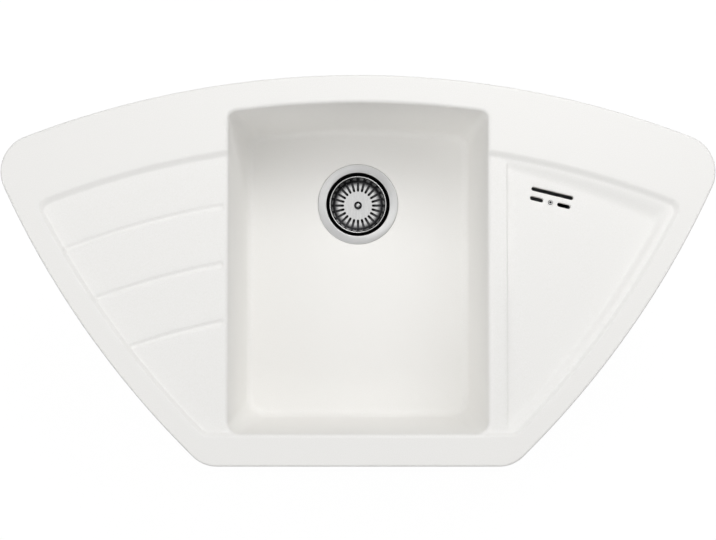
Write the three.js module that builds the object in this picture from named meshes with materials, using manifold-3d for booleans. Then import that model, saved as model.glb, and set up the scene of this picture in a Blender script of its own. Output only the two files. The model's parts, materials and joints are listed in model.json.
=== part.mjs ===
// Inset corner kitchen sink with drainer, side tray, basket strainer waste, overflow and rim fixings.
// Millimetres, +Z up. X runs to the right and Y to the rear. The worktop's top face is z = 0, and the
// origin is the middle of the front run of the sealing strip, where it rests on the worktop.
import * as THREE from 'three';
import * as BufferGeometryUtils from 'three/addons/utils/BufferGeometryUtils.js';
import Module from 'manifold-3d';

const wasm = await Module();
wasm.setup();

// ---------------------------------------------------------------- driving dimensions
const CLEARANCE = 0.3;              // gap round a piece that sits inside another

// Outline. Depths behind the straight front edge are positive.
const SINK_DEPTH = 510;             // front edge to the apex of the curved rear edge
const REAR_RADIUS = 1210;           // rear edge; every curved line of the top is concentric with it
const SIDE_RADIUS = 1200;           // the two long curved sides
const FRONT_HALF_WIDTH = 201.6;     // where a side's curve would meet the front edge
const REAR_HALF_WIDTH = 482.5;      // where a side's curve would meet the rear edge
const REAR_CORNER_RADIUS = 49;
const FRONT_CORNER_RADIUS = 45;

// Heights
const SEAL_THICKNESS = 2;
const RIM_THICKNESS = 8;
const RECESS_DEPTH = 5;             // step from the rim down to the working level
const DECK_THICKNESS = 8;
const BOWL_DEPTH = 190;             // rim to bowl floor
const FLOOR_THICKNESS = 10;
const BOWL_WALL = 8;
const RIM_EDGE_RADIUS = 3;

// Working recess
const RECESS_REAR_INSET = 89;
const RECESS_LEFT_INSET = 31;
const RECESS_RIGHT_INSET = 27.8;
const RECESS_FRONT_INSET = 41.5;
const RECESS_STEP_RUN = 5;          // width of the sloping step, seen from above
const RECESS_REAR_CORNER_RADIUS = 12;
const RECESS_FRONT_CORNER_RADIUS = 16;
const DECK_OUTSET = 6;              // how far the lowered underside reaches past the recess

// Bowl
const BOWL_HALF_WIDTH = 169;
const BOWL_REAR_INSET = 37;
const BOWL_FRONT_INSET = 42.5;
const BOWL_REAR_CORNER_RADIUS = 10;
const BOWL_FRONT_CORNER_RADIUS = 16;
const BOWL_CORNER_GAIN = 26;        // how much rounder the corners are at the floor
const BOWL_DRAFT = 14;              // how far a wall leans in over the bowl's depth
const BOWL_FLOOR_RADIUS = 11;
const BOWL_EDGE_RADIUS = 5.5;

// Drainer grooves
const GROOVE_COUNT = 3;
const FIRST_GROOVE_INSET = 157;     // from the rear edge
const GROOVE_PITCH = 74.4;
const GROOVE_WIDTH = 8.6;
const GROOVE_DEPTH = 2.3;
const GROOVE_END_X = -173;
const GROOVE_END_TAPER = 5;
const GROOVE_START_LAP = 0.8;       // how far a groove bites into the foot of the step

// Side tray
const LEDGE_WIDTH = 22.5;           // flat ledge between bowl and tray
const TRAY_REAR_INSET = 4.5;        // inside the working recess
const TRAY_SIDE_INSET = 7.5;
const TRAY_NEAR_DEPTH = 2.7;        // at its left front corner
const TRAY_FALL_ACROSS = 0.0245;    // fall per millimetre to the right
const TRAY_FALL_BACK = 0.0015;      // fall per millimetre to the rear
const TRAY_REAR_CORNER_RADIUS = 10;
const TRAY_SHARP_CORNER_RADIUS = 3;
const TRAY_UNDERSIDE_DROP = 21;     // rim top to the flat underside below the tray

// Overflow, in the tray
const OVERFLOW_INSET = 136.5;       // screw, from the rear edge's curve
const OVERFLOW_BEARING = 13.54;     // degrees to the right of straight back, seen from the curve's centre
const LONG_SLOT = { length: 56.6, width: 5.6, back: 12.3 };
const SHORT_SLOT = { length: 18, width: 5.6, across: 18.3 };
const OVERFLOW_SCREW = { radius: 2, headRadius: 3.1, headHeight: 1.6, length: 26 };
const OVERFLOW_BOX = { halfLength: 36, front: -9, back: 19, height: 28, wall: 2.5 };
const OVERFLOW_GASKET = { thickness: 3, width: 4 };

// Overflow hose and the spigots that it joins
const HOSE = { bore: 9, root: 11, crest: 12.5, ribs: 60, bend: 90, sides: 8 };
const SPIGOT = { bore: 9, radius: 11.5, length: 16 };
const HOSE_WASHER_THICKNESS = 2;
const HOSE_NUT = { radius: 17, length: 24 };

// Waste
const DRAIN_FROM_FRONT = 354;
const FLANGE_RADIUS = 56.3;
const FLANGE_SHEET = 1.5;
const FLANGE_SEAL_THICKNESS = 1;
const FLANGE_RECESS_DEPTH = 2;
const CUP = { bore: 44.5, sheet: 1.2, depth: 32.5, seatBore: 38, ledge: 20, wellDepth: 6, wellHoles: 6 };
const CUP_WELL_HOLE = { radius: 4, from: 12.8 };
const WASTE_GASKET = { radius: 60, thickness: 3 };
const WASTE_BODY = { flange: 5, wall: 3, chamber: 42 };
const OUTLET = { bore: 18.5, radius: 23.8, length: 20 };
const WASTE_HUB = { radius: 9, height: 18, rib: 3, ribs: 4 };
const WASTE_SCREW = { radius: 2.8, headRadius: 6.5, headHeight: 3, length: 20 };
const WASTE_NUT = { radius: 5.6, height: 7.5 };
const SPIGOT_BELOW_CUP = 6;         // spigot axis below the cup's well

// Strainer basket
const BASKET = { rimRadius: 40, rimBore: 37.2, rimDrop: 4, height: 22, floorRadius: 33, sheet: 1.2 };
const BASKET_SLOT = { count: 24, from: 20.8, to: 31.2, width: 2.6 };
const BASKET_SEAL = { radius: 24, thickness: 3 };
const BASKET_STEM = { radius: 3, sleeve: 5 };
const BASKET_KNOB = { radius: 5.5, height: 7 };

// Outlet union and tailpiece
const OUTLET_SEAL_THICKNESS = 3;
const TAILPIECE = { radius: 20, bore: 18, flange: 3, length: 45 };
const OUTLET_NUT = { radius: 31, lip: 3, engagement: 14 };

// Sealing strip
const SEAL_INSET = 3;
const SEAL_WIDTH = 11;

// Rim fixings. A bearing is the way that a claw points when it is turned out, and a hand of 1 or -1 says
// to which side of it the claw lies when it is turned in.
const CLIP_INSET = 36;
const FRONT_CLIP_INSET = 23.5;
const FRONT_CLIP_X = 110;
const SIDE_CLIP_SHARES = [0.22, 0.74];
const REAR_CLIP_X = 240;
const CLIP_BOSS = { radius: 9, bottom: -30 };
const CLIP_INSERT = { radius: 4.4, bore: 2.8, length: 12 };
const CLIP_SCREW = { radius: 2.5, headRadius: 4.6, headHeight: 3.5, engaged: 7, length: 35, slot: 1.2 };
const CLIP_TRAVEL = 18;
const CLIP_CLAW = { reach: 40, heel: 9, heelHeight: 5, toeHeight: 12, width: 14, sheet: 2.5 };

// Fineness of round shapes
const CORNER_STEPS = 6;
const FILLET_STEPS = 4;
const REAR_STEPS = 14;
const SIDE_STEPS = 8;
const ROUND = 28;
const SMALL_ROUND = 16;
const TINY_ROUND = 10;

// ---------------------------------------------------------------- derived heights
const RIM_UNDERSIDE = SEAL_THICKNESS;
const RIM_TOP = RIM_UNDERSIDE + RIM_THICKNESS;
const DECK_TOP = RIM_TOP - RECESS_DEPTH;
const DECK_UNDERSIDE = DECK_TOP - DECK_THICKNESS;
const FLOOR_TOP = RIM_TOP - BOWL_DEPTH;
const FLOOR_UNDERSIDE = FLOOR_TOP - FLOOR_THICKNESS;
const TRAY_UNDERSIDE = RIM_TOP - TRAY_UNDERSIDE_DROP;
const ORIGIN_FROM_FRONT = SEAL_INSET + SEAL_WIDTH / 2;
const OVERSHOOT = 4;                // how far a cutter runs past the face that it opens

// ---------------------------------------------------------------- solids
const material = (color, roughness, metalness = 0) =>
  new THREE.MeshStandardMaterial({ color, roughness, metalness });

const composite = () => material(0xf1f1ee, 0.55);
const stainless = () => material(0xc9cacc, 0.3, 1);
const zincPlated = () => material(0xb9bcc0, 0.4, 1);
const brass = () => material(0xc8a24a, 0.35, 1);
const blackRubber = () => material(0x1c1c1e, 0.85);
const greyFoam = () => material(0x4a4c50, 0.95);
const whitePlastic = () => material(0xe6e7e8, 0.45);
const greyPlastic = () => material(0x9aa0a5, 0.5);

function solid(geometry) {
  const bare = geometry.clone();
  bare.deleteAttribute('normal');
  bare.deleteAttribute('uv');
  const merged = BufferGeometryUtils.mergeVertices(bare, 1e-4);
  return new wasm.Manifold(new wasm.Mesh({
    numProp: 3,
    vertProperties: new Float32Array(merged.attributes.position.array),
    triVerts: new Uint32Array(merged.index.array),
  }));
}

function geometryOf(manifold) {
  const mesh = manifold.getMesh();
  const geometry = new THREE.BufferGeometry();
  geometry.setAttribute('position', new THREE.BufferAttribute(mesh.vertProperties, 3));
  geometry.setIndex(new THREE.BufferAttribute(mesh.triVerts, 1));
  const faceted = geometry.toNonIndexed();
  faceted.computeVertexNormals();
  return faceted;
}

const joined = (...parts) => parts.reduce((whole, part) => whole.add(part));
const cutBy = (body, ...tools) => tools.reduce((whole, tool) => whole.subtract(tool), body);

// A closed skin over rings of equal length. Rings run counter-clockwise about the way they are stacked.
function skin(rings) {
  const count = rings[0].length;
  const positions = rings.flat().flatMap((point) => point.toArray());
  const index = [];
  for (let level = 0; level < rings.length - 1; level += 1) {
    for (let i = 0; i < count; i += 1) {
      const a = level * count + i;
      const b = level * count + (i + 1) % count;
      index.push(a, b, b + count, a, b + count, a + count);
    }
  }
  return { positions, index, count };
}

function skinGeometry({ positions, index }) {
  const geometry = new THREE.BufferGeometry();
  geometry.setAttribute('position', new THREE.Float32BufferAttribute(positions, 3));
  geometry.setIndex(index);
  return geometry;
}

// Horizontal rings, each a list of plan points with a height, stacked from the lowest to the highest.
function stack(rings) {
  const built = skin(rings);
  const capOf = (ring) => THREE.ShapeUtils.triangulateShape(ring.map((p) => new THREE.Vector2(p.x, p.y)), []);
  const top = (rings.length - 1) * built.count;
  for (const [a, b, c] of capOf(rings[0])) built.index.push(a, c, b);
  for (const [a, b, c] of capOf(rings[rings.length - 1])) built.index.push(top + a, top + b, top + c);
  return solid(skinGeometry(built));
}

// Rings of a convex section carried along a path, closed at both ends.
function swept(rings) {
  const built = skin(rings);
  const last = (rings.length - 1) * built.count;
  for (let i = 1; i < built.count - 1; i += 1) {
    built.index.push(0, i + 1, i);
    built.index.push(last, last + i, last + i + 1);
  }
  return solid(skinGeometry(built));
}

function lathe(profile, segments = ROUND) {
  const points = profile.map(([radius, height]) => new THREE.Vector2(radius, height));
  const geometry = new THREE.LatheGeometry(points, segments);
  geometry.rotateX(Math.PI / 2);
  const turned = solid(geometry);
  return turned.volume() < 0 ? solid(flipped(geometry)) : turned;
}

function flipped(geometry) {
  const turned = geometry.clone();
  const index = Array.from(turned.index.array);
  for (let i = 0; i < index.length; i += 3) [index[i], index[i + 1]] = [index[i + 1], index[i]];
  turned.setIndex(index);
  return turned;
}

// A ring of rectangular section between two radii and two heights.
const washer = (bore, radius, bottom, top, segments = ROUND) =>
  lathe([[bore, bottom], [radius, bottom], [radius, top], [bore, top], [bore, bottom]], segments);

function cylinder(radius, bottom, top, segments = ROUND) {
  const geometry = new THREE.CylinderGeometry(radius, radius, top - bottom, segments);
  geometry.rotateX(Math.PI / 2);
  geometry.translate(0, 0, (bottom + top) / 2);
  return solid(geometry);
}

function block(width, depth, bottom, top) {
  const geometry = new THREE.BoxGeometry(width, depth, top - bottom);
  geometry.translate(0, 0, (bottom + top) / 2);
  return solid(geometry);
}

const sink = new THREE.Group();
sink.position.y = -ORIGIN_FROM_FRONT;

function place(name, manifold, finish, parent = sink) {
  const mesh = new THREE.Mesh(geometryOf(manifold), finish);
  mesh.name = name;
  parent.add(mesh);
  return mesh;
}

// ---------------------------------------------------------------- plan outlines
// A plan outline is a list of sides, counter-clockwise, with a rounded corner after each side. A side is
// a line (a point and the way in) or an arc that bulges out (a centre and a radius).
const line = (x, y, inX, inY) => ({ x, y, inX, inY });
const arc = (x, y, radius, steps) => ({ x, y, radius, steps });

const movedIn = (side, inset) => (side.radius
  ? { ...side, radius: side.radius - inset }
  : { ...side, x: side.x + side.inX * inset, y: side.y + side.inY * inset });

function lineMeetsArc(flat, round) {
  const away = (round.x - flat.x) * flat.inX + (round.y - flat.y) * flat.inY;
  const foot = { x: round.x - away * flat.inX, y: round.y - away * flat.inY };
  const half = Math.sqrt(round.radius ** 2 - away ** 2);
  return [half, -half].map((s) => ({ x: foot.x - flat.inY * s, y: foot.y + flat.inX * s }));
}

function arcMeetsArc(first, second) {
  const dx = second.x - first.x;
  const dy = second.y - first.y;
  const apart = Math.hypot(dx, dy);
  const along = (first.radius ** 2 - second.radius ** 2 + apart ** 2) / (2 * apart);
  const half = Math.sqrt(first.radius ** 2 - along ** 2);
  return [half, -half].map((s) => ({
    x: first.x + (dx * along - dy * s) / apart,
    y: first.y + (dy * along + dx * s) / apart,
  }));
}

function lineMeetsLine(first, second) {
  const across = first.inX * second.inY - first.inY * second.inX;
  const a = first.inX * first.x + first.inY * first.y;
  const b = second.inX * second.x + second.inY * second.y;
  return [{ x: (a * second.inY - b * first.inY) / across, y: (b * first.inX - a * second.inX) / across }];
}

// Where two sides meet, nearest to the way that the corner points.
function meet(first, second, toward) {
  let points;
  if (first.radius && second.radius) points = arcMeetsArc(first, second);
  else if (first.radius) points = lineMeetsArc(second, first);
  else if (second.radius) points = lineMeetsArc(first, second);
  else points = lineMeetsLine(first, second);
  const reach = (p) => p.x * toward[0] + p.y * toward[1];
  return points.reduce((best, p) => (reach(p) > reach(best) ? p : best));
}

function footOn(side, p) {
  if (side.radius) {
    const scale = side.radius / Math.hypot(p.x - side.x, p.y - side.y);
    return { x: side.x + (p.x - side.x) * scale, y: side.y + (p.y - side.y) * scale };
  }
  const away = (p.x - side.x) * side.inX + (p.y - side.y) * side.inY;
  return { x: p.x - away * side.inX, y: p.y - away * side.inY };
}

function arcPoints(centre, from, to, steps, ends) {
  const start = Math.atan2(from.y - centre.y, from.x - centre.x);
  let turn = Math.atan2(to.y - centre.y, to.x - centre.x) - start;
  if (turn < 0) turn += 2 * Math.PI;
  const radius = Math.hypot(from.x - centre.x, from.y - centre.y);
  const points = [];
  for (let i = ends ? 0 : 1; i <= (ends ? steps : steps - 1); i += 1) {
    const angle = start + turn * i / steps;
    points.push({ x: centre.x + radius * Math.cos(angle), y: centre.y + radius * Math.sin(angle) });
  }
  return points;
}

// The outline moved in by an inset, with each corner's radius changed by the gain.
function outline(shape, inset = 0, gain = 0) {
  const sides = shape.sides.map((side) => movedIn(side, inset));
  const corners = shape.corners.map(({ radius, toward }, i) => {
    const before = sides[i];
    const after = sides[(i + 1) % sides.length];
    const r = Math.max(radius + gain - inset, shape.leastRadius);
    const centre = meet(movedIn(before, r), movedIn(after, r), toward);
    return { centre, from: footOn(before, centre), to: footOn(after, centre) };
  });
  const points = [];
  corners.forEach(({ centre, from, to }, i) => {
    points.push(...arcPoints(centre, from, to, CORNER_STEPS, true));
    const side = sides[(i + 1) % sides.length];
    const next = corners[(i + 1) % corners.length];
    if (side.radius) points.push(...arcPoints(side, to, next.from, side.steps, false));
  });
  return points;
}

const atHeight = (points, z) => points.map(({ x, y }) => new THREE.Vector3(x, y, z));

// Centres of the outline's arcs
const rearCentre = { x: 0, y: SINK_DEPTH - REAR_RADIUS };

function sideCentre() {
  const rearY = rearCentre.y + Math.sqrt(REAR_RADIUS ** 2 - REAR_HALF_WIDTH ** 2);
  const middle = { x: (FRONT_HALF_WIDTH + REAR_HALF_WIDTH) / 2, y: rearY / 2 };
  const run = { x: REAR_HALF_WIDTH - FRONT_HALF_WIDTH, y: rearY };
  const chord = Math.hypot(run.x, run.y);
  const back = Math.sqrt(SIDE_RADIUS ** 2 - chord ** 2 / 4);
  return { x: middle.x - run.y / chord * back, y: middle.y + run.x / chord * back };
}

const rightCentre = sideCentre();
const rearArc = (inset, steps) => arc(rearCentre.x, rearCentre.y, REAR_RADIUS - inset, steps);
const rightArc = (inset) => arc(rightCentre.x, rightCentre.y, SIDE_RADIUS - inset, SIDE_STEPS);
const leftArc = (inset) => arc(-rightCentre.x, rightCentre.y, SIDE_RADIUS - inset, SIDE_STEPS);
const frontLine = (inset) => line(0, inset, 0, 1);

const TOWARD = { frontRight: [1, -1], rearRight: [1, 1], rearLeft: [-1, 1], frontLeft: [-1, -1] };

const cornersOf = (frontRadius, rearRadius) => [
  { radius: frontRadius, toward: TOWARD.frontRight },
  { radius: rearRadius, toward: TOWARD.rearRight },
  { radius: rearRadius, toward: TOWARD.rearLeft },
  { radius: frontRadius, toward: TOWARD.frontLeft },
];

const rimShape = {
  sides: [frontLine(0), rightArc(0), rearArc(0, REAR_STEPS), leftArc(0)],
  corners: cornersOf(FRONT_CORNER_RADIUS, REAR_CORNER_RADIUS),
  leastRadius: 4,
};

const recessShape = {
  sides: [
    frontLine(RECESS_FRONT_INSET),
    rightArc(RECESS_RIGHT_INSET),
    rearArc(RECESS_REAR_INSET, REAR_STEPS),
    leftArc(RECESS_LEFT_INSET),
  ],
  corners: cornersOf(RECESS_FRONT_CORNER_RADIUS, RECESS_REAR_CORNER_RADIUS),
  leastRadius: 4,
};

const bowlShape = {
  sides: [
    frontLine(BOWL_FRONT_INSET),
    line(BOWL_HALF_WIDTH, 0, -1, 0),
    rearArc(BOWL_REAR_INSET, SIDE_STEPS),
    line(-BOWL_HALF_WIDTH, 0, 1, 0),
  ],
  corners: cornersOf(BOWL_FRONT_CORNER_RADIUS, BOWL_REAR_CORNER_RADIUS),
  leastRadius: 4,
};

const trayLeft = BOWL_HALF_WIDTH + LEDGE_WIDTH;

const trayShape = {
  sides: [
    line(trayLeft, 0, 1, 0),
    rightArc(RECESS_RIGHT_INSET + TRAY_SIDE_INSET),
    rearArc(RECESS_REAR_INSET + TRAY_REAR_INSET, SIDE_STEPS),
  ],
  corners: [
    { radius: TRAY_SHARP_CORNER_RADIUS, toward: TOWARD.frontLeft },
    { radius: TRAY_REAR_CORNER_RADIUS, toward: TOWARD.rearRight },
    { radius: TRAY_SHARP_CORNER_RADIUS, toward: TOWARD.rearLeft },
  ],
  leastRadius: 2,
};

// ---------------------------------------------------------------- sink body
function rimPlate() {
  const soft = RIM_EDGE_RADIUS * (1 - Math.SQRT1_2);
  return stack([
    atHeight(outline(rimShape, 1), RIM_UNDERSIDE),
    atHeight(outline(rimShape, 0), RIM_UNDERSIDE + 1),
    atHeight(outline(rimShape, 0), RIM_TOP - RIM_EDGE_RADIUS),
    atHeight(outline(rimShape, soft), RIM_TOP - soft),
    atHeight(outline(rimShape, RIM_EDGE_RADIUS), RIM_TOP),
  ]);
}

const deckPan = () => stack([
  atHeight(outline(recessShape, 1 - DECK_OUTSET), DECK_UNDERSIDE),
  atHeight(outline(recessShape, -DECK_OUTSET), DECK_UNDERSIDE + 1),
  atHeight(outline(recessShape, -DECK_OUTSET), (RIM_UNDERSIDE + DECK_TOP) / 2),
]);

const trayPan = () => stack([
  atHeight(outline(trayShape, -1), TRAY_UNDERSIDE),
  atHeight(outline(trayShape, -2), DECK_UNDERSIDE + 1),
]);

function recessCut() {
  const half = RECESS_STEP_RUN / 2;
  return stack([
    atHeight(outline(recessShape, half), DECK_TOP),
    atHeight(outline(recessShape, -half), RIM_TOP),
    atHeight(outline(recessShape, -half), RIM_TOP + OVERSHOOT),
  ]);
}

// The tray's floor is one tilted plane, so its walls are higher to the right and the rear.
const trayFrontY = outline(trayShape)[0].y;
const trayDepthAt = ({ x, y }) =>
  TRAY_NEAR_DEPTH + TRAY_FALL_ACROSS * (x - trayLeft) + TRAY_FALL_BACK * (y - trayFrontY);

function trayCut() {
  const edge = outline(trayShape);
  const foot = edge.map((point, i) => outline(trayShape, trayDepthAt(point))[i]);
  return stack([
    foot.map((p) => new THREE.Vector3(p.x, p.y, DECK_TOP - trayDepthAt(p))),
    atHeight(edge, DECK_TOP),
    atHeight(outline(trayShape, -1), DECK_TOP + 1),
  ]);
}

const bowlLean = (z) => BOWL_DRAFT * (DECK_TOP - z) / (DECK_TOP - FLOOR_TOP);
const bowlGain = (z) => BOWL_CORNER_GAIN * (DECK_TOP - z) / (DECK_TOP - FLOOR_TOP);
const bowlRing = (z, inset) => atHeight(outline(bowlShape, bowlLean(z) + inset, bowlGain(z)), z);

// Rings of a bowl skin from its floor up to the foot of its top edge.
function bowlRings(floor, floorRadius, wall) {
  const rings = [];
  for (let i = 0; i <= FILLET_STEPS; i += 1) {
    const angle = Math.PI / 2 * i / FILLET_STEPS;
    const z = floor + floorRadius * (1 - Math.cos(angle));
    rings.push(bowlRing(z, floorRadius * (1 - Math.sin(angle)) - wall));
  }
  return rings;
}

const bowlShell = () => stack([
  ...bowlRings(FLOOR_UNDERSIDE, BOWL_FLOOR_RADIUS, BOWL_WALL),
  bowlRing(RIM_UNDERSIDE + 1, -BOWL_WALL),
]);

function bowlCut() {
  const edge = BOWL_EDGE_RADIUS;
  return stack([
    ...bowlRings(FLOOR_TOP, BOWL_FLOOR_RADIUS, 0),
    bowlRing(DECK_TOP - edge, 0),
    bowlRing(DECK_TOP - edge * 0.4, -edge * 0.25),
    atHeight(outline(bowlShape, -edge), DECK_TOP + 0.4),
    atHeight(outline(bowlShape, -edge), RIM_TOP + OVERSHOOT),
  ]);
}

function groove(number) {
  const radius = REAR_RADIUS - FIRST_GROOVE_INSET - number * GROOVE_PITCH;
  const angleAt = (x) => Math.atan2(Math.sqrt(radius ** 2 - x ** 2), x);
  const stepFoot = leftArc(RECESS_LEFT_INSET + RECESS_STEP_RUN / 2 - GROOVE_START_LAP);
  const sideStart = arcMeetsArc({ ...rearCentre, radius }, stepFoot)
    .reduce((best, p) => (p.y > best.y ? p : best));
  const from = Math.atan2(sideStart.y - rearCentre.y, sideStart.x);
  const to = angleAt(GROOVE_END_X);
  const taper = GROOVE_END_TAPER / radius;
  const stops = [];
  const steps = 12;
  for (let i = 0; i <= steps; i += 1) stops.push({ angle: from + (to + taper - from) * i / steps, share: 1 });
  stops.push({ angle: to + taper * 0.3, share: 0.7 }, { angle: to, share: 0.05 });
  const section = [[-0.65, 0.5], [-0.28, -0.75], [0, -1], [0.28, -0.75], [0.65, 0.5]];
  return swept(stops.map(({ angle, share }) => section.map(([across, up]) => {
    const r = radius - across * GROOVE_WIDTH * (0.6 + 0.4 * share);
    const z = DECK_TOP + up * GROOVE_DEPTH * (up < 0 ? share : 1);
    return new THREE.Vector3(rearCentre.x + r * Math.cos(angle), rearCentre.y + r * Math.sin(angle), z);
  })));
}

// A round-ended slot, standing on its middle.
function slotCut({ length, width }, bottom, top) {
  const half = (length - width) / 2;
  const shape = new THREE.Shape();
  shape.absarc(half, 0, width / 2, -Math.PI / 2, Math.PI / 2);
  shape.absarc(-half, 0, width / 2, Math.PI / 2, Math.PI * 1.5);
  const options = { depth: top - bottom, bevelEnabled: false, curveSegments: 4 };
  const geometry = new THREE.ExtrudeGeometry(shape, options);
  geometry.translate(0, 0, bottom);
  return solid(geometry);
}

// The overflow's own frame: its origin at the screw, across along the curve and back square to it.
const overflowRadius = REAR_RADIUS - OVERFLOW_INSET;
const overflowTurn = -OVERFLOW_BEARING;
const overflowAt = new THREE.Vector3(
  rearCentre.x + overflowRadius * Math.sin(THREE.MathUtils.degToRad(OVERFLOW_BEARING)),
  rearCentre.y + overflowRadius * Math.cos(THREE.MathUtils.degToRad(OVERFLOW_BEARING)),
  0,
);
const inOverflow = (manifold) => manifold.rotate([0, 0, overflowTurn]).translate(overflowAt.toArray());
const trayTopAtScrew = DECK_TOP - trayDepthAt(overflowAt);

const overflowCuts = () => {
  const bottom = TRAY_UNDERSIDE - OVERSHOOT;
  const top = DECK_TOP + OVERSHOOT;
  return [
    slotCut(LONG_SLOT, bottom, top).translate([0, LONG_SLOT.back, 0]),
    slotCut(SHORT_SLOT, bottom, top).translate([-SHORT_SLOT.across, 0, 0]),
    slotCut(SHORT_SLOT, bottom, top).translate([SHORT_SLOT.across, 0, 0]),
    cylinder(OVERFLOW_SCREW.radius + CLEARANCE, bottom, top, TINY_ROUND),
  ].map(inOverflow);
};

// ---------------------------------------------------------------- rim fixings: where they go
const CLIP_BOSS_TOP = (RIM_UNDERSIDE + DECK_TOP) / 2;

function clipOnSide(share, mirror) {
  const run = outline(rimShape);
  const from = run[CORNER_STEPS];
  const to = run[CORNER_STEPS + SIDE_STEPS];
  const y = from.y + (to.y - from.y) * share;
  const x = rightCentre.x + Math.sqrt((SIDE_RADIUS - CLIP_INSET) ** 2 - (y - rightCentre.y) ** 2);
  const bearing = THREE.MathUtils.radToDeg(Math.atan2(y - rightCentre.y, x - rightCentre.x));
  return { x: mirror * x, y, bearing: mirror > 0 ? bearing : 180 - bearing, hand: mirror };
}

function clipOnRear(x) {
  const y = rearCentre.y + Math.sqrt((REAR_RADIUS - CLIP_INSET) ** 2 - x ** 2);
  const bearing = THREE.MathUtils.radToDeg(Math.atan2(y - rearCentre.y, x));
  return { x, y, bearing, hand: Math.sign(x) };
}

const clips = [
  { x: -FRONT_CLIP_X, y: FRONT_CLIP_INSET, bearing: -90, hand: -1 },
  { x: FRONT_CLIP_X, y: FRONT_CLIP_INSET, bearing: -90, hand: 1 },
  ...SIDE_CLIP_SHARES.map((share) => clipOnSide(share, 1)),
  clipOnRear(REAR_CLIP_X),
  clipOnRear(-REAR_CLIP_X),
  ...SIDE_CLIP_SHARES.map((share) => clipOnSide(share, -1)).reverse(),
];

const insertTop = CLIP_BOSS.bottom + CLIP_INSERT.length;
const screwTip = CLIP_BOSS.bottom + CLIP_SCREW.engaged;
const screwHeadTop = screwTip - CLIP_SCREW.length;

const clipBoss = ({ x, y }) =>
  cylinder(CLIP_BOSS.radius, CLIP_BOSS.bottom, CLIP_BOSS_TOP, SMALL_ROUND).translate([x, y, 0]);

// The insert's seat, and above it a blind hole for the screw at the end of its travel.
const clipBossCut = ({ x, y }) => joined(
  cylinder(CLIP_INSERT.radius + CLEARANCE, CLIP_BOSS.bottom - OVERSHOOT, insertTop, TINY_ROUND),
  cylinder(CLIP_INSERT.bore + CLEARANCE, insertTop - 1, screwTip + CLIP_TRAVEL + 2, TINY_ROUND),
).translate([x, y, 0]);

// ---------------------------------------------------------------- waste: where it goes
const cupRadius = CUP.bore + CUP.sheet;
const drainHole = cupRadius + CLEARANCE * 2;
const inDrain = (manifold) => manifold.translate([0, DRAIN_FROM_FRONT, 0]);

const flangeSeat = FLOOR_TOP - FLANGE_RECESS_DEPTH;
const flangeRecess = () => cylinder(FLANGE_RADIUS + CLEARANCE, flangeSeat, FLOOR_TOP + OVERSHOOT);
const drainCut = () => cylinder(drainHole, FLOOR_UNDERSIDE - OVERSHOOT, FLOOR_TOP);

const grooves = () => Array.from({ length: GROOVE_COUNT }, (_, i) => groove(i));

place('sink_body', cutBy(
  joined(rimPlate(), deckPan(), trayPan(), bowlShell(), ...clips.map(clipBoss)),
  recessCut(),
  trayCut(),
  bowlCut(),
  ...grooves(),
  ...overflowCuts(),
  ...clips.map(clipBossCut),
  inDrain(flangeRecess()),
  inDrain(drainCut()),
), composite());

const upright = (points, bottom, top) => stack([atHeight(points, bottom), atHeight(points, top)]);

place('rim_sealing_strip', cutBy(
  upright(outline(rimShape, SEAL_INSET), 0, SEAL_THICKNESS),
  upright(outline(rimShape, SEAL_INSET + SEAL_WIDTH), -OVERSHOOT, SEAL_THICKNESS + OVERSHOOT),
), greyFoam());

// ---------------------------------------------------------------- rim fixings
function clawPlate() {
  const { reach, heel, heelHeight, toeHeight, width, sheet } = CLIP_CLAW;
  const side = new THREE.Shape([
    [-heel, 0], [reach, 0], [reach, toeHeight], [reach - sheet, toeHeight],
    [reach - sheet, sheet], [sheet - heel, sheet], [sheet - heel, heelHeight], [-heel, heelHeight],
  ].map(([s, z]) => new THREE.Vector2(s, z)));
  const geometry = new THREE.ExtrudeGeometry(side, { depth: width, bevelEnabled: false });
  geometry.translate(0, 0, -width / 2);
  geometry.rotateX(Math.PI / 2);
  const hole = cylinder(CLIP_SCREW.radius + CLEARANCE, -OVERSHOOT, sheet + OVERSHOOT, TINY_ROUND);
  return solid(geometry).subtract(hole);
}

const clampScrew = () => {
  const { radius, headRadius, headHeight, length, slot } = CLIP_SCREW;
  const profile = [[0, -headHeight], [headRadius * 0.75, -headHeight], [headRadius, -headHeight * 0.6],
    [headRadius, 0], [radius, 0], [radius, length - 1], [radius - 1, length], [0, length]];
  const driver = block(headRadius * 3, slot, -headHeight - 1, -headHeight * 0.5);
  return lathe(profile, TINY_ROUND).subtract(driver);
};

clips.forEach(({ x, y, bearing, hand }, i) => {
  const fixing = new THREE.Group();
  fixing.position.set(x, y, 0);
  // Turned in, a claw lies a quarter turn from its bearing, along the rim.
  fixing.rotation.z = THREE.MathUtils.degToRad(bearing + hand * 90);
  sink.add(fixing);
  const { radius, bore } = CLIP_INSERT;
  const label = `clip_${i + 1}`;
  place(`${label}_insert`, washer(bore, radius, CLIP_BOSS.bottom, insertTop, TINY_ROUND), brass(), fixing);
  place(`${label}_screw`, clampScrew().translate([0, 0, screwHeadTop]), zincPlated(), fixing);
  place(`${label}_claw`, clawPlate().translate([0, 0, screwHeadTop]), zincPlated(), fixing);
});

// ---------------------------------------------------------------- waste
const flangeUnderside = flangeSeat + FLANGE_SEAL_THICKNESS;
const flangeTop = flangeUnderside + FLANGE_SHEET;
const seatTop = flangeTop - CUP.depth;
const wellTop = seatTop - CUP.wellDepth;

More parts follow.
